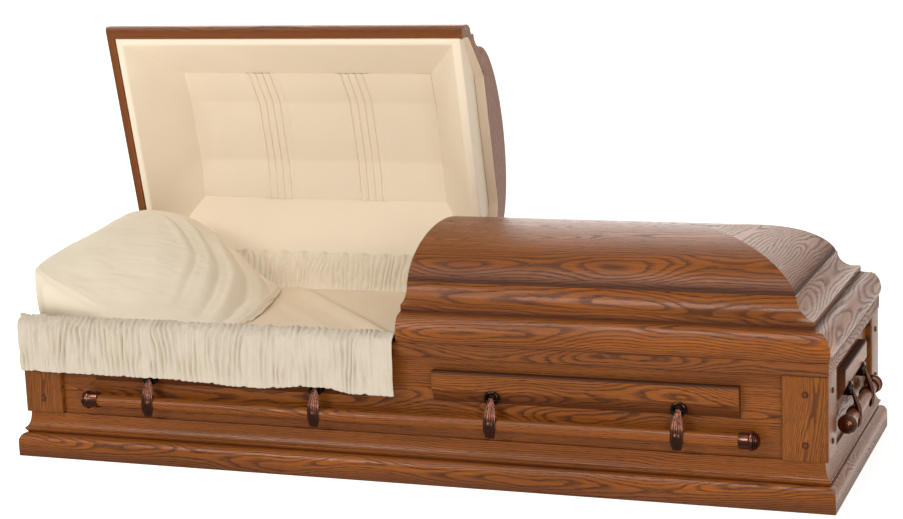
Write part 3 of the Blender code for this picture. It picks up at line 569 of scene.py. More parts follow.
def header(side, plank):
    """The arched board at the split: the lid's outline with the opening cut out of its lower edge."""
    outline = np.array([(HALF_W - a - 0.0007, LID_Z + b + (-0.0007 if b > 0.01 else 0.0006)) for a, b, _ in lid_outside])
    opening = np.array([(0.187, 0.475), (0.325, 0.391), (0.334, LID_Z + 0.0006)])
    loop = np.concatenate([outline, (outline * (-1, 1))[::-1][1:], opening[::-1] * (-1, 1), opening])
    x0 = SPLIT_X + side * SPLIT_GAP / 2
    ends = np.array([0.0, 0.0008, HEADER_T - 0.0003])
    middle = np.array([0.0, 0.45])
    rings = []
    for depth, pull in zip(ends, (0.0008, 0.0, 0.0)):
        inward = (middle - loop) / np.linalg.norm(middle - loop, axis=1, keepdims=True)
        flat = loop + inward * pull
        rings.append(np.column_stack([np.full(len(loop), x0 + side * depth), flat]))
    rings = np.array(rings)
    grain = np.stack([rings[..., 1], rings[..., 2] - 0.47, np.full(rings.shape[:2], float(plank))], -1)
    return swept(rings, grain)


OAK_LID = oak("stained_oak_lid", heart=0.060, ring=0.0062, width=0.110)
foot_parts = lid_sticks(1, 41) + [header(1, 44)]
head_parts = lid_sticks(-1, 45) + [header(-1, 48)]
foot_lid = piece("foot_lid_oak", foot_parts, OAK_LID, body="foot_lid", stands_for=["foot_lid"])
head_lid = piece("head_lid_oak", opened(head_parts, HEAD_LID_OPEN), OAK_LID, body="head_lid", stands_for=["head_lid"])
print("foot lid:", len(foot_lid.data.polygons), "faces")

# %% [markdown]
# ## Handles
# Each side has a turned wooden bar that hangs in leaf-shaped arms of antique copper. The arms swing
# on pins in dark bronze lugs, and ribbed ferrules close the bar's ends. Everything is drawn once as
# (run along the side, inset from the coffin's outline, height), then sent to the side it belongs to.

# %% Metals
def aged_metal(name, bright, worn, rough):
    """A metal with a brown patina: cloudy over the surface, and solid where 'glaze' is 1,
    which on the metal parts marks patina in the hollows.
    """
    material, tree, shader = new_material(name)
    place = add(tree, "TexCoord").outputs["Object"]
    cloud = ramp(tree, noise(tree, place, 130.0, 4.0, 0.6), 0.42, 0.68)
    glaze = add(tree, "Attribute", attribute_name="glaze").outputs["Fac"]
    age = math(tree, 'MAXIMUM', math(tree, 'MULTIPLY', cloud, 0.55), glaze)
    tree.links.new(mix(tree, age, (*bright, 1), (*worn, 1)), shader.inputs["Base Color"])
    tree.links.new(math(tree, 'ADD', rough, math(tree, 'MULTIPLY', age, 0.22)), shader.inputs["Roughness"])
    shader.inputs["Metallic"].default_value = 1.0
    return material


COPPER = aged_metal("antique_copper", (0.27, 0.115, 0.075), (0.060, 0.024, 0.016), 0.25)
BRONZE = aged_metal("dark_bronze", (0.060, 0.045, 0.036), (0.022, 0.015, 0.012), 0.22)
BRASS = aged_metal("hinge_brass", (0.55, 0.40, 0.20), (0.22, 0.15, 0.07), 0.35)
print("metals:", COPPER.name, BRONZE.name, BRASS.name)

# %% Turned shapes
BAR_R, BAR_IN, BAR_HEIGHT, PIN_IN, PIN_HEIGHT, LUG_HEIGHT = 0.015, 0.006, 0.162, 0.0165, 0.2185, 0.2235


def turned(profile, inset, height, steps=32):
    """Rings round a line along the run, one for each (run, radius) of the profile."""
    run, radius = np.asarray(profile, float).T[:, :, None]
    t = np.linspace(0, 2 * pi, steps, endpoint=False)
    return np.stack(np.broadcast_arrays(run + 0 * t, inset + radius * np.cos(t), height + radius * np.sin(t)), -1)


def on_side(side, parts):
    """Send parts drawn as (run, inset, height) to a side: along * run + outward * (half - inset)."""
    (ax, ay), (ox, oy) = SIDES[side]
    half, sent = HALF_W if ax else HALF_L, []
    for points, faces, grain, glaze in parts:
        run, out = points[:, 0], half - points[:, 1]
        sent.append((np.stack([ax * run + ox * out, ay * run + oy * out, points[:, 2]], -1), faces, grain, glaze))
    return sent


def through(stations, steps):
    """Rows eased between stations with a Catmull-Rom curve.

    Between P1 and P2, with neighbours P0 and P3: P1 + t/2 (P2 - P0) + t^2 (P0 - 5/2 P1 + 2 P2 - 1/2 P3)
    + t^3 (3/2 (P1 - P2) + 1/2 (P3 - P0)).
    """
    rows = np.asarray(stations, float)
    padded = np.concatenate([rows[:1], rows, rows[-1:]])
    place = np.linspace(0, len(rows) - 1.0001, steps)
    i, t = place.astype(int), (place % 1)[:, None]
    p0, p1, p2, p3 = (padded[i + k] for k in range(4))
    return p1 + t / 2 * (p2 - p0) + t ** 2 * (p0 - 2.5 * p1 + 2 * p2 - 0.5 * p3) + t ** 3 * (1.5 * (p1 - p2) + 0.5 * (p3 - p0))


# %% Ferrule, arm and lug
def ferrule(end, sign):
    """A cap on the bar's end: a plain sleeve, a broad ring and three ribs up to a button."""
    profile = [(-0.0337, 0.0153), (-0.0337, 0.0188), (-0.0325, 0.0196), (-0.0120, 0.0197), (-0.0105, 0.0203),
               (-0.0085, 0.0226), (-0.0060, 0.0233), (-0.0030, 0.0233), (-0.0012, 0.0222), (-0.0005, 0.0196),
               (0.0006, 0.0197), (0.0018, 0.0211), (0.0032, 0.0208), (0.0040, 0.0178), (0.0050, 0.0176),
               (0.0062, 0.0186), (0.0074, 0.0180), (0.0082, 0.0146), (0.0091, 0.0143), (0.0102, 0.0150),
               (0.0112, 0.0140), (0.0119, 0.0098), (0.0130, 0.0088), (0.0139, 0.0060), (0.0143, 0.0004)]
    dark = [1, 0.3, 0, 0, 0.7, 0.1, 0, 0, 0.2, 1, 0.9, 0, 0.1, 1, 0.9, 0, 0.1, 1, 0.9, 0, 0.1, 0.9, 0.2, 0, 0]
    rings = turned([(end + sign * s, r) for s, r in profile], BAR_IN, BAR_HEIGHT, 40)
    return swept(rings, glaze=np.repeat(np.array(dark)[:, None] * 0.8, 40, 1))


def leaf(run):
    """The arm's fluted leaf. A row is (height, inset of the face, half width, thickness).

    Across the face u goes from -1 to 1 and the depth is (0.32 u^2 + 0.09 (1 - cos 5 pi u)) * thickness.
    """
    rows = through([(0.2258, 0.0094, 0.0040, 0.0016), (0.2225, 0.0076, 0.0060, 0.0034), (0.2145, 0.0050, 0.0084, 0.0060),
                    (0.1965, -0.0036, 0.0130, 0.0100), (0.1801, -0.0104, 0.0152, 0.0120), (0.1560, -0.0134, 0.0158, 0.0124),
                    (0.1400, -0.0112, 0.0132, 0.0104), (0.1318, -0.0076, 0.0100, 0.0074), (0.1301, -0.0045, 0.0060, 0.0034)], 44)
    u = np.sin(np.linspace(-pi / 2, pi / 2, 40))
    face = 0.32 * u ** 2 + 0.09 * (1 - np.cos(5 * pi * u)) * (1 - u ** 4)
    u, v = np.append(u, [0.8, 0.3, -0.3, -0.8]), np.append(face, [1.0, 1.0, 1.0, 1.0])
    height, inset, half, thick = rows.T[:, :, None]
    rings = np.stack([run + half * u, inset + thick * v, height + 0 * u], -1)
    groove = np.append(0.45 * (1 - np.cos(5 * pi * u[:40])) / 2, [1.0] * 4)
    return swept(rings, glaze=np.broadcast_to(groove, rings.shape[:2]))


def arm(run):
    """A leaf, the collar behind it that holds the bar, and the knuckle on the pin."""
    collar = [(-0.008, 0.0153), (-0.008, 0.0183), (-0.0068, 0.0193), (0.0068, 0.0193), (0.008, 0.0183), (0.008, 0.0153)]
    knuckle = [(-0.0045, 0.0029), (-0.0045, 0.0052), (-0.0038, 0.0060), (0.0038, 0.0060), (0.0045, 0.0052), (0.0045, 0.0029)]
    parts = [leaf(run)]
    for profile, inset, height in ((collar, BAR_IN, BAR_HEIGHT), (knuckle, PIN_IN, PIN_HEIGHT)):
        rings = turned([(run + s, r) for s, r in profile + profile[:1]], inset, height, 32)
        parts.append(swept(rings, glaze=np.full(rings.shape[:2], 0.4), closed_ends=False))
    web = np.array([(-0.0045, z, i) for i, z in ((0.0098, 0.2055), (0.0098, 0.2240), (0.0165, 0.2240), (0.0165, 0.2130))])
    rings = np.stack([np.column_stack([np.full(4, run + s), web[:, 2], web[:, 1]]) for s in (-0.0043, 0.0043)])
    return parts + [swept(rings)]


def lug(run, on_panel):
    """A horseshoe ring that the arm's top hangs in, open below, and its pin with a domed end.

    A ring's section (inset, radius) is carried from -52 to 232 degrees; its back follows the panel.
    """
    section = np.array([(0.0344, 0.0186), (0.0150, 0.0186), (0.0118, 0.0176), (0.0105, 0.0148), (0.0110, 0.0122),
                        (0.0135, 0.0104), (0.0180, 0.0098), (0.0344, 0.0098)])
    inset, radius = through(section, 22).T
    turn = np.radians(np.linspace(-52, 232, 48))[:, None]
    height = LUG_HEIGHT + radius * np.sin(turn)
    wall = np.interp(height, [0.206, 0.240], [0.0346, 0.0163]) if on_panel else 0.0346
    rings = np.stack([run + radius * np.cos(turn), np.minimum(inset, wall), height], -1)
    pin = [(-0.0168, 0.0020), (-0.0165, 0.0025), (0.0150, 0.0025), (0.0155, 0.0038), (0.0195, 0.0038), (0.0212, 0.0028), (0.0219, 0.0006)]
    return [swept(rings), swept(turned([(run + s, r) for s, r in pin], PIN_IN, PIN_HEIGHT, 20))]


# %% Four handles
HANDLES = {"front": (0.011, 0.866, (-0.687, -0.229, 0.229, 0.687)), "back": (-0.011, 0.866, (-0.687, -0.229, 0.229, 0.687)),
           "foot": (0.0, 0.191, (-0.092, 0.092)), "head": (0.0, 0.191, (-0.092, 0.092))}
for side, (shift, half, runs) in HANDLES.items():
    body = side + ("_handle" if half > 0.5 else "_end_handle")
    t = np.linspace(-1, 1, 40)[:, None]
    rings = turned(np.column_stack([shift + half * t[:, 0], np.full(40, BAR_R - 0.0001)]), BAR_IN, BAR_HEIGHT, 32)
    around = np.linspace(0, 2 * pi * BAR_R, 32)
    grain = np.stack(np.broadcast_arrays(shift + half * t + 9.0, around + 0 * t, len(side) + 50.0 + 0 * around), -1)
    piece(f"{side}_handle_bar_oak", on_side(side, [swept(rings, grain)]), OAK, body=body, stands_for=[f"{side}_handle_bar"])
    for number, sign in ((1, -1), (2, 1)):
        piece(f"{side}_handle_ferrule_{number}_copper", on_side(side, [ferrule(shift + sign * half, sign)]), COPPER, 40,
              body=body, stands_for=[f"{side}_handle_ferrule_{number}"])
    for number, run in enumerate(runs, 1):
        piece(f"{side}_handle_arm_{number}_copper", on_side(side, arm(shift + run)), COPPER, 50, body=body,
              stands_for=[f"{side}_handle_arm_{number}"])
        piece(f"{side}_handle_lug_{number}_bronze", on_side(side, lug(shift + run, True)), BRONZE, 50,
              stands_for=[f"{side}_handle_lug_{number}"])
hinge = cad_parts["lid_hinge"]
hinge.data.materials.clear()
hinge.data.materials.append(BRASS)

# %% [markdown]
# ## Cream crepe
# The whole inside is dressed in one crepe cloth. Its weave is too fine to model, so the material
# carries it as a crinkle in the bump, and a second, wider ripple makes the cloth look handled.

# %% Crepe
def crepe_group():
    """Colour and bump of crepe from a place in metres.

    Height = fine crinkle + Ripple * (wide noise stretched along z); the colour drifts a little.
    """
    group, source, sink = new_group(
        "crepe", [("Place", "Vector", None), ("Tint", "Color", (0.8, 0.7, 0.55, 1)), ("Ripple", "Float", 0.5)],
        [("Color", "Color"), ("Normal", "Vector")])
    place = source["Place"]
    fine = noise(group, place, 420.0, 3.0, 0.65)
    parts = add(group, "SeparateXYZ", {0: place}).outputs
    wide = noise(group, vector(group, parts[0], parts[1], math(group, 'MULTIPLY', parts[2], 0.45)), 55.0, 4.0, 0.55)
    drift = noise(group, place, 6.0, 2.0)
    cloudy = math(group, 'ADD', math(group, 'MULTIPLY', fine, 0.06), math(group, 'MULTIPLY', drift, 0.08))
    tone = math(group, 'ADD', 0.93, cloudy)
    group.links.new(mix(group, 1.0, source["Tint"], vector(group, tone, tone, tone), 'MULTIPLY'), sink["Color"])
    height = math(group, 'ADD', math(group, 'MULTIPLY', fine, 0.10), math(group, 'MULTIPLY', wide, source["Ripple"]))
    bump = add(group, "Bump", {"Strength": 0.5, "Distance": 0.003, "Height": height})
    group.links.new(bump.outputs[0], sink["Normal"])
    return group


CREPE = crepe_group()


def crepe(name, tint, ripple=0.5):
    """A crepe material: dull, with a faint sheen at its edges."""
    material, tree, shader = new_material(name)
    cloth = placed(tree, CREPE, {"Place": add(tree, "TexCoord").outputs["Object"], "Tint": (*tint, 1), "Ripple": ripple})
    tree.links.new(cloth["Color"], shader.inputs["Base Color"])
    tree.links.new(cloth["Normal"], shader.inputs["Normal"])
    shader.inputs["Roughness"].default_value = 0.88
    shader.inputs["Specular IOR Level"].default_value = 0.15
    shader.inputs["Sheen Weight"].default_value = 0.12
    shader.inputs["Sheen Roughness"].default_value = 0.5
    return material


CREAM_LINING = crepe("cream_lining", (0.83, 0.71, 0.55), 0.08)
CREAM_SOFT = crepe("cream_crepe", (0.76, 0.66, 0.515), 0.35)
# Painted shade: the same crepe as the rest, tinted darker because the hanging front catches more lamp light than the
# pillow's top.
CREAM_DRAPE_SHADED = crepe("cream_gathered_painted_shade", (0.58, 0.505, 0.40), 0.30)
CREAM_BED = crepe("cream_bed", (0.72, 0.585, 0.42), 0.12)


def wander(u, v, seed):
    """Smooth noise from -1 to 1: random values on a lattice, joined by t^2 (3 - 2t) both ways."""
    table = np.random.default_rng(seed).uniform(-1, 1, (64, 64))
    u, v = np.broadcast_arrays(np.asarray(u, float), np.asarray(v, float))
    i, j = np.floor(u).astype(int), np.floor(v).astype(int)
    a, b = u - i, v - j
    a, b = a * a * (3 - 2 * a), b * b * (3 - 2 * b)
    low = table[i % 64, j % 64] * (1 - a) + table[(i + 1) % 64, j % 64] * a
    high = table[i % 64, (j + 1) % 64] * (1 - a) + table[(i + 1) % 64, (j + 1) % 64] * a
    return low * (1 - b) + high * b


def along(line, count):
    """Points spaced evenly along a bent line, with its own corners rounded to the nearest step."""
    line = np.asarray(line, float)
    length = np.concatenate([[0], np.cumsum(np.linalg.norm(np.diff(line, axis=0), axis=1))])
    return np.stack([np.interp(np.linspace(0, length[-1], count), length, line[:, k]) for k in range(line.shape[1])], -1)


def patch(points):
    """A grid of points (rows, columns, 3) as a part."""
    return part(points, grid_faces(*points.shape[:2]).tolist())


# %% [markdown]
# ## Lining of the head lid
# Cloth is stretched over card in flat facets: a border round the rim, four slopes and a middle that
# bends twice. It is drawn with the lid shut and then turned open. Two sets of four tucks cross the
# middle; each tuck rises slowly and drops at its stitched edge.

# %% Lining facets
SPLIT_EDGE = -0.0125
RIM_X, RIM_Y, IN_X, IN_Y, CENTRE_X, CENTRE_Y = (-1.0222, SPLIT_EDGE), 0.3318, (-1.003, -0.037), 0.312, (-0.897, -0.157), 0.188
BEND_Y, BEND_X, CENTRE_Z, BEND_Z, LINING_Z = 0.087, (-0.903, -0.168), 0.130, 0.1695, 0.3505
HEAD_BEND_Z, HEAD_EASE = 0.1530, 0.050


def between(a, b, steps, sag=0.0):
    """A grid from line a to line b. Point = a + t (b - a), sunk by sag * sin(pi t) away from the viewer."""
    t = np.linspace(0, 1, steps)[:, None, None]
    grid = a + (b - a) * t
    s = np.linspace(0, 1, len(a))[None, :]
    grid[..., 2] += sag * np.sin(pi * t[..., 0]) * (1 - (2 * s - 1) ** 6)
    return grid


def tucks(x, across):
    """Depth of the tucks at x: in each set a ramp of 5 mm over 20 mm, four times; they lean with the bends."""
    depth = np.zeros(np.broadcast(x, across).shape)
    for first, lean in ((-0.698, 1.0), (-0.420, 1.0)):
        place = (x - first - 0.012 * (across > 0) * (across - BEND_Y).clip(0) / (CENTRE_Y - BEND_Y)) / 0.0215
        inside = (place > -0.9) & (place < 4.0)
        depth = np.where(inside, 0.0042 * np.clip(place - np.floor(place), 0, 1) ** 1.6 * np.clip((4 - place) * 2, 0, 1), depth)
    return depth


def lining_parts():
    """Border, slopes, middle and the end at the split, in the frame of the shut lid."""
    def box_line(x, y, z, side, count=48):
        """One side of a rectangle, with the end's two bends when it is a short one."""
        (x0, x1), mid = x, y * BEND_Y / CENTRE_Y
        ends = {"front": [(x0, -y, z), (x1, -y, z)], "back": [(x1, y, z), (x0, y, z)],
                "split": [(x1, -y, z), (x1, -mid, z), (x1, mid, z), (x1, y, z)],
                "head": [(x0, y, z), (x0, mid, z), (x0, -mid, z), (x0, -y, z)]}
        return along(ends[side], count)

    centre = {"front": [(CENTRE_X[0], -CENTRE_Y, CENTRE_Z), (CENTRE_X[1], -CENTRE_Y, CENTRE_Z)],
              "back": [(CENTRE_X[1], CENTRE_Y, CENTRE_Z), (CENTRE_X[0], CENTRE_Y, CENTRE_Z)],
              "split": [(CENTRE_X[1], -CENTRE_Y, CENTRE_Z), (BEND_X[1], -BEND_Y, BEND_Z),
                        (BEND_X[1], BEND_Y, BEND_Z), (CENTRE_X[1], CENTRE_Y, CENTRE_Z)],
              "head": [(CENTRE_X[0], CENTRE_Y, CENTRE_Z), (BEND_X[0], BEND_Y, HEAD_BEND_Z),
                       (BEND_X[0], -BEND_Y, HEAD_BEND_Z), (CENTRE_X[0], -CENTRE_Y, CENTRE_Z)]}
    parts, up = [], np.array([0, 0, LINING_Z])
    for side in ("front", "split", "back", "head"):
        outer, inner = box_line(RIM_X, RIM_Y, 0.0, side), box_line(IN_X, IN_Y, 0.0, side)
        pad = between(outer, inner, 9)
        swell = np.linspace(0, 1, 9)
        pad[..., 2] += (0.0026 * (1 - np.sin(pi * swell) ** 0.5))[:, None]
        parts.append(patch(pad + up))
        step = inner + np.array([0, 0, 0.0026])
        parts.append(patch(between(step, along(centre[side], 48), 20, sag=0.004) + up))
    x = np.linspace(0, 1, 421)[None, :]
    rows = along([(-CENTRE_Y, CENTRE_Z), (-BEND_Y, BEND_Z), (BEND_Y, BEND_Z), (CENTRE_Y, CENTRE_Z)], 61)
    y, z = rows[:, :1], rows[:, 1:]
    deep = (z - CENTRE_Z) / (BEND_Z - CENTRE_Z)
    left, right = CENTRE_X[0] + (BEND_X[0] - CENTRE_X[0]) * deep, CENTRE_X[1] + (BEND_X[1] - CENTRE_X[1]) * deep
    x = left + (right - left) * x
    ease = 1 - np.clip((x - left) / HEAD_EASE, 0, 1)
    z = z - (BEND_Z - HEAD_BEND_Z) * deep * ease ** 2
    soft = 0.0012 * wander(x / 0.06, y / 0.09 + 0 * x, 5)
    parts.append(patch(np.stack([x, y + 0 * x, z - tucks(x, y) + soft * (1 - ease)], -1) + up))
    return parts


OPENING = [(-0.3325, 0.3508), (-0.3235, 0.3915), (-0.1865, 0.4738), (0.1865, 0.4738), (0.3235, 0.3915), (0.3325, 0.3508)]


def split_end():
    """The end towards the split: a panel that leans in, and a flange round the header's opening."""
    edge = along(OPENING, 90)
    rim = np.column_stack([edge[:, 0], np.full(90, LINING_Z)])
    t = np.linspace(0, 1, 12)[:, None]
    y, z = rim[:, 0] + (edge[:, 0] - rim[:, 0]) * t, rim[:, 1] + (edge[:, 1] - rim[:, 1]) * t
    panel = np.stack([SPLIT_EDGE - 0.152 * (z - LINING_Z), y, z], -1)
    seam = sum(np.exp(-((edge[:, 0] - c) / 0.004) ** 2) for c in (-0.3235, -0.1865, 0.1865, 0.3235))
    x = np.array([-0.0305, -0.0200, -0.0110, -0.0085, -0.0060, -0.0042, -0.0036, -0.0046, -0.0065])[:, None]
    lift = np.array([0.0003, 0.0006, 0.0007, 0.0016, 0.0027, 0.0025, 0.0014, 0.0004, 0.0001])[:, None] * (1 + 0.45 * seam)
    pull = 1 - lift / np.hypot(edge[:, 0], edge[:, 1] - 0.35)
    flange = np.stack([x + 0 * lift, edge[:, 0] * pull, 0.35 + (edge[:, 1] - 0.35) * pull + 0 * x], -1)
    return [patch(panel), patch(flange)]


lining = piece("lid_lining_crepe", opened(lining_parts() + split_end(), HEAD_LID_OPEN), CREAM_LINING, angle=28, recalc=False,
               body="head_lid", stands_for=["head_lid_lining"])
print("lining:", len(lining.data.polygons), "faces")

# %% [markdown]
# ## The gathered cloth over the front rim
# A strip much wider than the rim is shirred into it with rows of stitches, and hangs down outside.
# Its section is a bent line from the bed over the rim to the hem, and the gathers push each point
# of it outwards: rounded ribs that bend and shift as they fall, with crumples over them.

# %% Front cloth
def gathers(run, down, seed, pitch=0.0165):
    """Height of shirred cloth, about -1 to 1: rounded upright ribs, pinched and shifted as they fall.

    rib = cos(2 pi (run + warp) / pitch), with a slow and a quick warp, and crumples over it.
    """
    warp = 0.010 * wander(run / 0.050, down * 2.2, seed) + 0.0052 * wander(run / 0.017, down * 6.5, seed + 1)
    rib = np.cos(2 * pi * (run + warp) / pitch)
    crumple = wander(run / 0.0095, down * 11.0, seed + 2)
    broad = wander(run / 0.034, down * 3.0, seed + 3)
    return 0.56 * rib * (1 + 0.7 * broad) + 0.46 * crumple + 0.50 * broad


HEM_STATIONS = [(-1.043, 0.2305), (-0.80, 0.2295), (-0.60, 0.2295), (-0.42, 0.2205), (-0.34, 0.2205), (-0.250, 0.2310), (-0.19, 0.2310),
                (-0.12, 0.2195), (-0.0045, 0.2180)]
CLOTH_LINE = [(-0.3015, 0.3206), (-0.3055, 0.3380), (-0.3170, 0.3580), (-0.3300, 0.3675), (-0.3440, 0.3712), (-0.3590, 0.3680),
              (-0.3695, 0.3590), (-0.3735, 0.3450), (-0.3748, 0.3200), (-0.3750, 0.2900), (-0.3752, 0.2600), (-0.3752, 0.2310)]


def front_cloth():
    """The cloth's outer skin as a grid, fall by run, down to its hem."""
    run = np.linspace(-1.0445, -0.0050, 720)[None, :]
    line = through(CLOTH_LINE, 64)
    fall = np.linspace(0, 1, 64)[:, None]
    slope = np.gradient(line, axis=0)
    normal = np.stack([slope[:, 1], -slope[:, 0]], -1)
    normal /= np.linalg.norm(normal, axis=1, keepdims=True)
    height = gathers(run, fall, 11)
    stitch = np.cos(2 * pi * (run + 0.012 * wander(run / 0.11, 0.5, 17)) / 0.083)
    pull = np.exp((stitch - 1) * 14)
    puff = np.interp(fall, [0, 0.22, 0.40, 0.60, 0.90, 1.0], [0.0006, 0.0022, 0.0044, 0.0056, 0.0054, 0.0024])
    top = np.exp(-((fall - 0.42) / 0.10) ** 2)
    push = puff * height + 0.0014 * np.sin(pi * np.clip((fall - 0.45) / 0.5, 0, 1)) + top * (0.0012 * stitch - 0.0050 * pull)
    hem = np.interp(run, *np.array(HEM_STATIONS).T) + 0.0009 * (1 + wander(run / 0.030, 0.5, 19)) + 0.0028 * pull
    stretch = np.clip((line[:, 1:] - 0.231) / (0.345 - 0.231), 0, 1)
    lower = (hem - 0.231) * (1 - stretch) * (line[:, :1] < -0.36)
    ends = np.clip((run + 1.0445) / 0.012, 0, 1)
    round_in = (1 - np.sqrt(1 - (1 - ends) ** 2)) * 0.010
    y = line[:, :1] + normal[:, :1] * push + round_in * (line[:, :1] < -0.35)
    z = line[:, 1:] + normal[:, 1:] * push + lower
    return np.stack([run + 0.0012 * wander(run / 0.02, fall * 5, 23), y, z], -1)


cloth_points = front_cloth()
cloth = piece("front_cloth_crepe", [patch(cloth_points)], CREAM_DRAPE_SHADED, angle=180, recalc=False, stands_for=["front_cloth"])
thick = cloth.modifiers.new("thickness", 'SOLIDIFY')
thick.thickness, thick.offset = 0.0012, -1.0
print("front cloth:", len(cloth.data.polygons), "faces")

# %% [markdown]
# ## Bed and pillow
# The bed is a deep block under a smooth sheet that is pulled into one slanting fold. The pillow is
# boxed: high at the head, low at the foot, and creased in arcs round its middle.

# %% Bed
def bed_parts():
    """The bed's top as a height field, and its plain sides down to the bottom board."""
    x = np.linspace(-1.006, 1.006, 300)[:, None]
    y = np.linspace(-0.316, 0.316, 96)[None, :]
    edge = np.minimum(1.006 - abs(x), 0.316 - abs(y))
    roll = 0.012 * (1 - np.sqrt(1 - (1 - np.clip(edge / 0.012, 0, 1)) ** 2))
    shown = np.clip((-x - 0.01) / 0.04, 0, 1) * np.clip((x + 0.62) / 0.15, 0, 1)
    slant = (x + 0.30) + 0.95 * (y - 0.02)
    fold = np.clip(slant / 0.12, -1, 1)
    lift = shown * (0.015 * np.exp(-(slant / 0.028) ** 2) + 0.007 * np.exp(-((slant + 0.13) / 0.04) ** 2) + 0.004 * fold)
    crumple = 0.0012 * wander(x / 0.05, y / 0.09, 31)
    z = 0.3205 + np.clip(lift, 0, 1) * np.clip(edge / 0.05, 0, 1) + crumple * np.clip(edge / 0.02, 0, 1) - roll
    top = np.stack(np.broadcast_arrays(x, y, z), -1)
    ring = np.concatenate([top[:, 0], top[-1, 1:], top[-2::-1, -1], top[0, -2:0:-1]])
    foot = ring.copy()
    foot[:, 2] = 0.0185
    middle = ring.copy()
    middle[:, 2] = 0.3
    return [patch(top), swept(np.stack([foot, middle, ring]), closed_ends=False), part(foot, [list(range(len(foot)))])]


bed = piece("bed_crepe", bed_parts(), CREAM_BED, angle=60, stands_for=["mattress"])

# %% Pillow
PILLOW_TOP = np.array([[0.488, 0.499, 0.508, 0.516, 0.528, 0.530], [0.446, 0.502, 0.534, 0.545, 0.546, 0.528],
                       [0.402, 0.472, 0.518, 0.539, 0.541, 0.515], [0.366, 0.434, 0.490, 0.515, 0.513, 0.474],
                       [0.346, 0.390, 0.440, 0.464, 0.460, 0.418], [0.334, 0.352, 0.384, 0.400, 0.392, 0.360],
                       [0.322, 0.328, 0.336, 0.342, 0.340, 0.330]])
PILLOW_SIDE = ((0.02, 0.004), (0.10, 0.011), (0.25, 0.016), (0.45, 0.015),
               (0.65, 0.008), (0.82, -0.006), (0.94, -0.026), (1.0, -0.050))
PILLOW_HEAD_X = -0.995


def surface(table, u, v):
    """A smooth surface through a table of heights: Catmull-Rom both ways."""
    rows = through(table, len(u))
    return through(rows.T, len(v)).T


def pillow_parts():
    """Top and boxed side of the pillow in one skin.

    The top's outline is a rounded square; inside it the table gives the height, and arcs round the
    middle of the foot's side crease it. The side falls from the seam, bulges and tucks under, but
    stays nearly upright at the head end, where the closed lid would push it through the rim.
    """
    s = np.linspace(0, 2 * pi, 220, endpoint=False)[None, :]
    r = np.linspace(0, 1, 70)[:, None] ** 0.8
    a, b = np.cos(s), np.sin(s)
    square = (abs(a) ** 14 + abs(b) ** 14) ** (-1 / 14)
    u, v = 0.5 + 0.5 * r * a * square, 0.5 + 0.5 * r * b * square
    grid = surface(PILLOW_TOP, np.arange(85), np.arange(71))
    iu, iv = u * 84, v * 70
    i, j = np.minimum(iu.astype(int), 83), np.minimum(iv.astype(int), 69)
    du, dv = iu - i, iv - j
    z = ((grid[i, j] * (1 - du) + grid[i + 1, j] * du) * (1 - dv) + (grid[i, j + 1] * (1 - du) + grid[i + 1, j + 1] * du) * dv)
    x = -1.040 + 0.532 * u - 0.085 * u ** 2 * np.clip((v - 0.35) / 0.65, 0, 1) ** 1.5
    y = -0.303 + 0.588 * v
    from_corner = np.hypot(x + 0.98, (y + 0.16) * 0.9)
    bend = from_corner + 0.014 * wander(x / 0.10, y / 0.12, 41)
    arcs = 0
    for radius, height, spread in ((0.285, 0.45, 0.012), (0.303, -0.40, 0.007), (0.340, 0.60, 0.013), (0.362, -0.60, 0.007),
                                   (0.400, 0.95, 0.014), (0.430, -1.10, 0.008), (0.466, 0.75, 0.015), (0.492, -0.55, 0.007)):
        arcs += height * np.exp(-((bend - radius) / spread) ** 2)
    inside = np.clip((1 - r) / 0.12, 0, 1) * np.clip((y + 0.24) / 0.12, 0, 1)
    crinkle = 1 - 2 * abs(wander((x + 0.5 * y) / 0.050, (y - 0.5 * x) / 0.014, 44))
    puff = 0.0030 * wander(x / 0.07, y / 0.06, 43) + 0.0013 * crinkle
    z = (z + 0.0090 * arcs * inside + puff * np.clip((1 - r) / 0.06, 0, 1)
         - 0.010 * np.clip((r - 0.92) / 0.08, 0, 1) ** 2 + 0.0035 * np.exp(-((r - 0.972) / 0.010) ** 2))
    rings = [np.stack([x, y, z], -1)]
    rim = rings[0][-1]
    middle = np.array([-0.77, -0.0065])
    for depth, out in PILLOW_SIDE:
        away = (rim[:, :2] - middle) / np.linalg.norm(rim[:, :2] - middle, axis=1, keepdims=True)
        low = np.where(rim[:, 0] < PILLOW_HEAD_X, 0.352, 0.3212)
        level = rim[:, 2] + (low - rim[:, 2]) * depth
        ripple = 0.003 * wander(s[0] * 9, depth * 3, 47)
        held = np.where(rim[:, 0] < PILLOW_HEAD_X, 0.15, 1.0)
        ring = rim[:, :2] + away * (held * (out * np.clip((rim[:, 2] - 0.33) / 0.1, 0.1, 1) + ripple))[:, None]
        rings.append(np.column_stack([ring, level])[None])
    return [swept(np.concatenate(rings), closed_ends=False), part(rings[-1][0], [list(range(220))])]


pillow = piece("pillow_crepe", pillow_parts(), CREAM_SOFT, angle=180, stands_for=["pillow"])
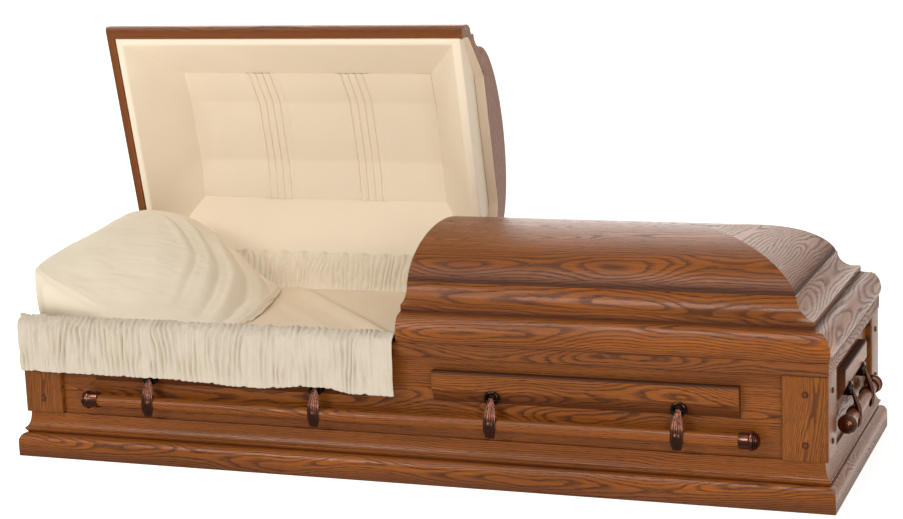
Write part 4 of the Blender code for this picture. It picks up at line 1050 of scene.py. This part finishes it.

# %% [markdown]
# ## Apron on the hinge side
# A gathered strip hides the gap between the bed and the open lid. It is tacked to the lid every
# 60 mm.

# %% Apron
def apron():
    """A grid from the bed's back edge up to the lid's border, with pinched tucks along its top."""
    run = np.linspace(-0.985, -0.012, 700)[None, :]
    fall = np.linspace(0, 1, 46)[:, None]
    line = through([(0.290, 0.318), (0.300, 0.330), (0.309, 0.352), (0.318, 0.378), (0.326, 0.400), (0.333, 0.419)], 46)
    pinch = np.exp(-((((run + 0.03) / 0.060) % 1 - 0.5) / 0.09) ** 2) * np.exp(-((1 - fall) / 0.16) ** 2)
    height = gathers(run, 0.6 * (1 - fall), 61, pitch=0.0150)
    push = 0.0030 * np.sin(pi * np.clip(fall * 0.92 + 0.06, 0, 1)) ** 0.5 * height + 0.006 * pinch
    sag = 0.004 * (1 - np.exp(-((((run + 0.03) / 0.060) % 1 - 0.5) / 0.2) ** 2)) * np.clip((fall - 0.7) / 0.3, 0, 1)
    return np.stack([run + 0 * fall, line[:, :1] - push, line[:, 1:] - sag + 0.3 * push], -1)


apron_points = apron()
apron_piece = piece("apron_crepe", [patch(apron_points)], CREAM_SOFT, angle=180, recalc=False, body=None)
thick = apron_piece.modifiers.new("thickness", 'SOLIDIFY')
thick.thickness, thick.offset = 0.001, 1.0
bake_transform(apron_piece)


def skin_area(grid):
    """Area of a grid: the sum of |AC x BD| / 2 over its quads."""
    ac, bd = grid[1:, 1:] - grid[:-1, :-1], grid[:-1, 1:] - grid[1:, :-1]
    return float(np.linalg.norm(np.cross(ac, bd), axis=-1).sum() / 2)


def cut_size(grid):
    """Width and length of the cloth before it was gathered: its fall, and its area over its fall."""
    fall = float(np.linalg.norm(np.diff(grid[:, grid.shape[1] // 2], axis=0), axis=1).sum())
    return fall, skin_area(grid) / fall


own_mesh(cloth)
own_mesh(pillow)
print("cut sizes: front cloth", cut_size(cloth_points), "apron", cut_size(apron_points))

# %% [markdown]
# ## Floor and light
# A plain pale floor and a pale room all round. The room is bright behind the coffin, most of all on
# the left, and dim where the camera stands, so that the front keeps its colour and the top shines.
# Reflections leave the floor out, because a white floor would grey the stain on the front.

# %% Floor, room and lamps
floor_mesh = bpy.data.meshes.new("floor")
floor_mesh.from_pydata([(-30, -30, 0), (30, -30, 0), (30, 30, 0), (-30, 30, 0)], [], [(0, 1, 2, 3)])
floor_paint, floor_tree, floor_shader = new_material("pale_floor")
floor_shader.inputs["Base Color"].default_value = (0.80, 0.80, 0.80, 1)
floor_shader.inputs["Roughness"].default_value = 0.95
floor_shader.inputs["Specular IOR Level"].default_value = 0.0
floor_shader.inputs["Emission Color"].default_value = (1, 1, 1, 1)
floor_shader.inputs["Emission Strength"].default_value = 0.70
floor_mesh.materials.append(floor_paint)
floor = bpy.data.objects.new("floor", floor_mesh)
bpy.context.scene.collection.objects.link(floor)
floor.location.z = -0.0005
floor.visible_glossy = False

room = bpy.data.worlds.new("studio")
room.use_nodes = True
bpy.context.scene.world = room
air = room.node_tree
look = add(air, "SeparateXYZ", {0: add(air, "TexCoord").outputs["Generated"]}).outputs
behind = ramp(air, look[1], -0.10, 0.45)
low = ramp(air, look[2], 0.85, 0.55)
side = math(air, 'ADD', 0.30, math(air, 'MULTIPLY', ramp(air, look[0], 0.5, -0.2), 0.70))
back = math(air, 'MULTIPLY', math(air, 'MULTIPLY', behind, low), math(air, 'MULTIPLY', side, 1.9))
level = math(air, 'ADD', math(air, 'MULTIPLY', ramp(air, look[2], 0.35, 0.65), 0.16), math(air, 'ADD', 0.16, back))
air.nodes["Background"].inputs["Color"].default_value = (1.0, 0.975, 0.93, 1)
air.links.new(level, air.nodes["Background"].inputs["Strength"])
bpy.context.scene.view_settings.view_transform = 'Standard'


def soft_lamp(name, at, towards, size, watts, tint=(1, 1, 1)):
    """A square soft box that faces a point."""
    light = bpy.data.lights.new(name, 'AREA')
    light.shape, light.size, light.energy, light.color = 'SQUARE', size, watts, tint
    lamp = bpy.data.objects.new(name, light)
    lamp.location = at
    lamp.rotation_euler = (Vector(towards) - Vector(at)).to_track_quat('-Z', 'Y').to_euler()
    bpy.context.scene.collection.objects.link(lamp)


soft_lamp("key", (-2.6, -4.8, 2.9), (0, 0, 0.35), 1.6, 84, (1.0, 0.985, 0.96))
soft_lamp("fill", (3.4, -4.4, 2.0), (0.2, 0, 0.3), 2.0, 72)
soft_lamp("top", (-0.3, -1.9, 4.2), (-0.1, 0, 0.3), 1.8, 60)
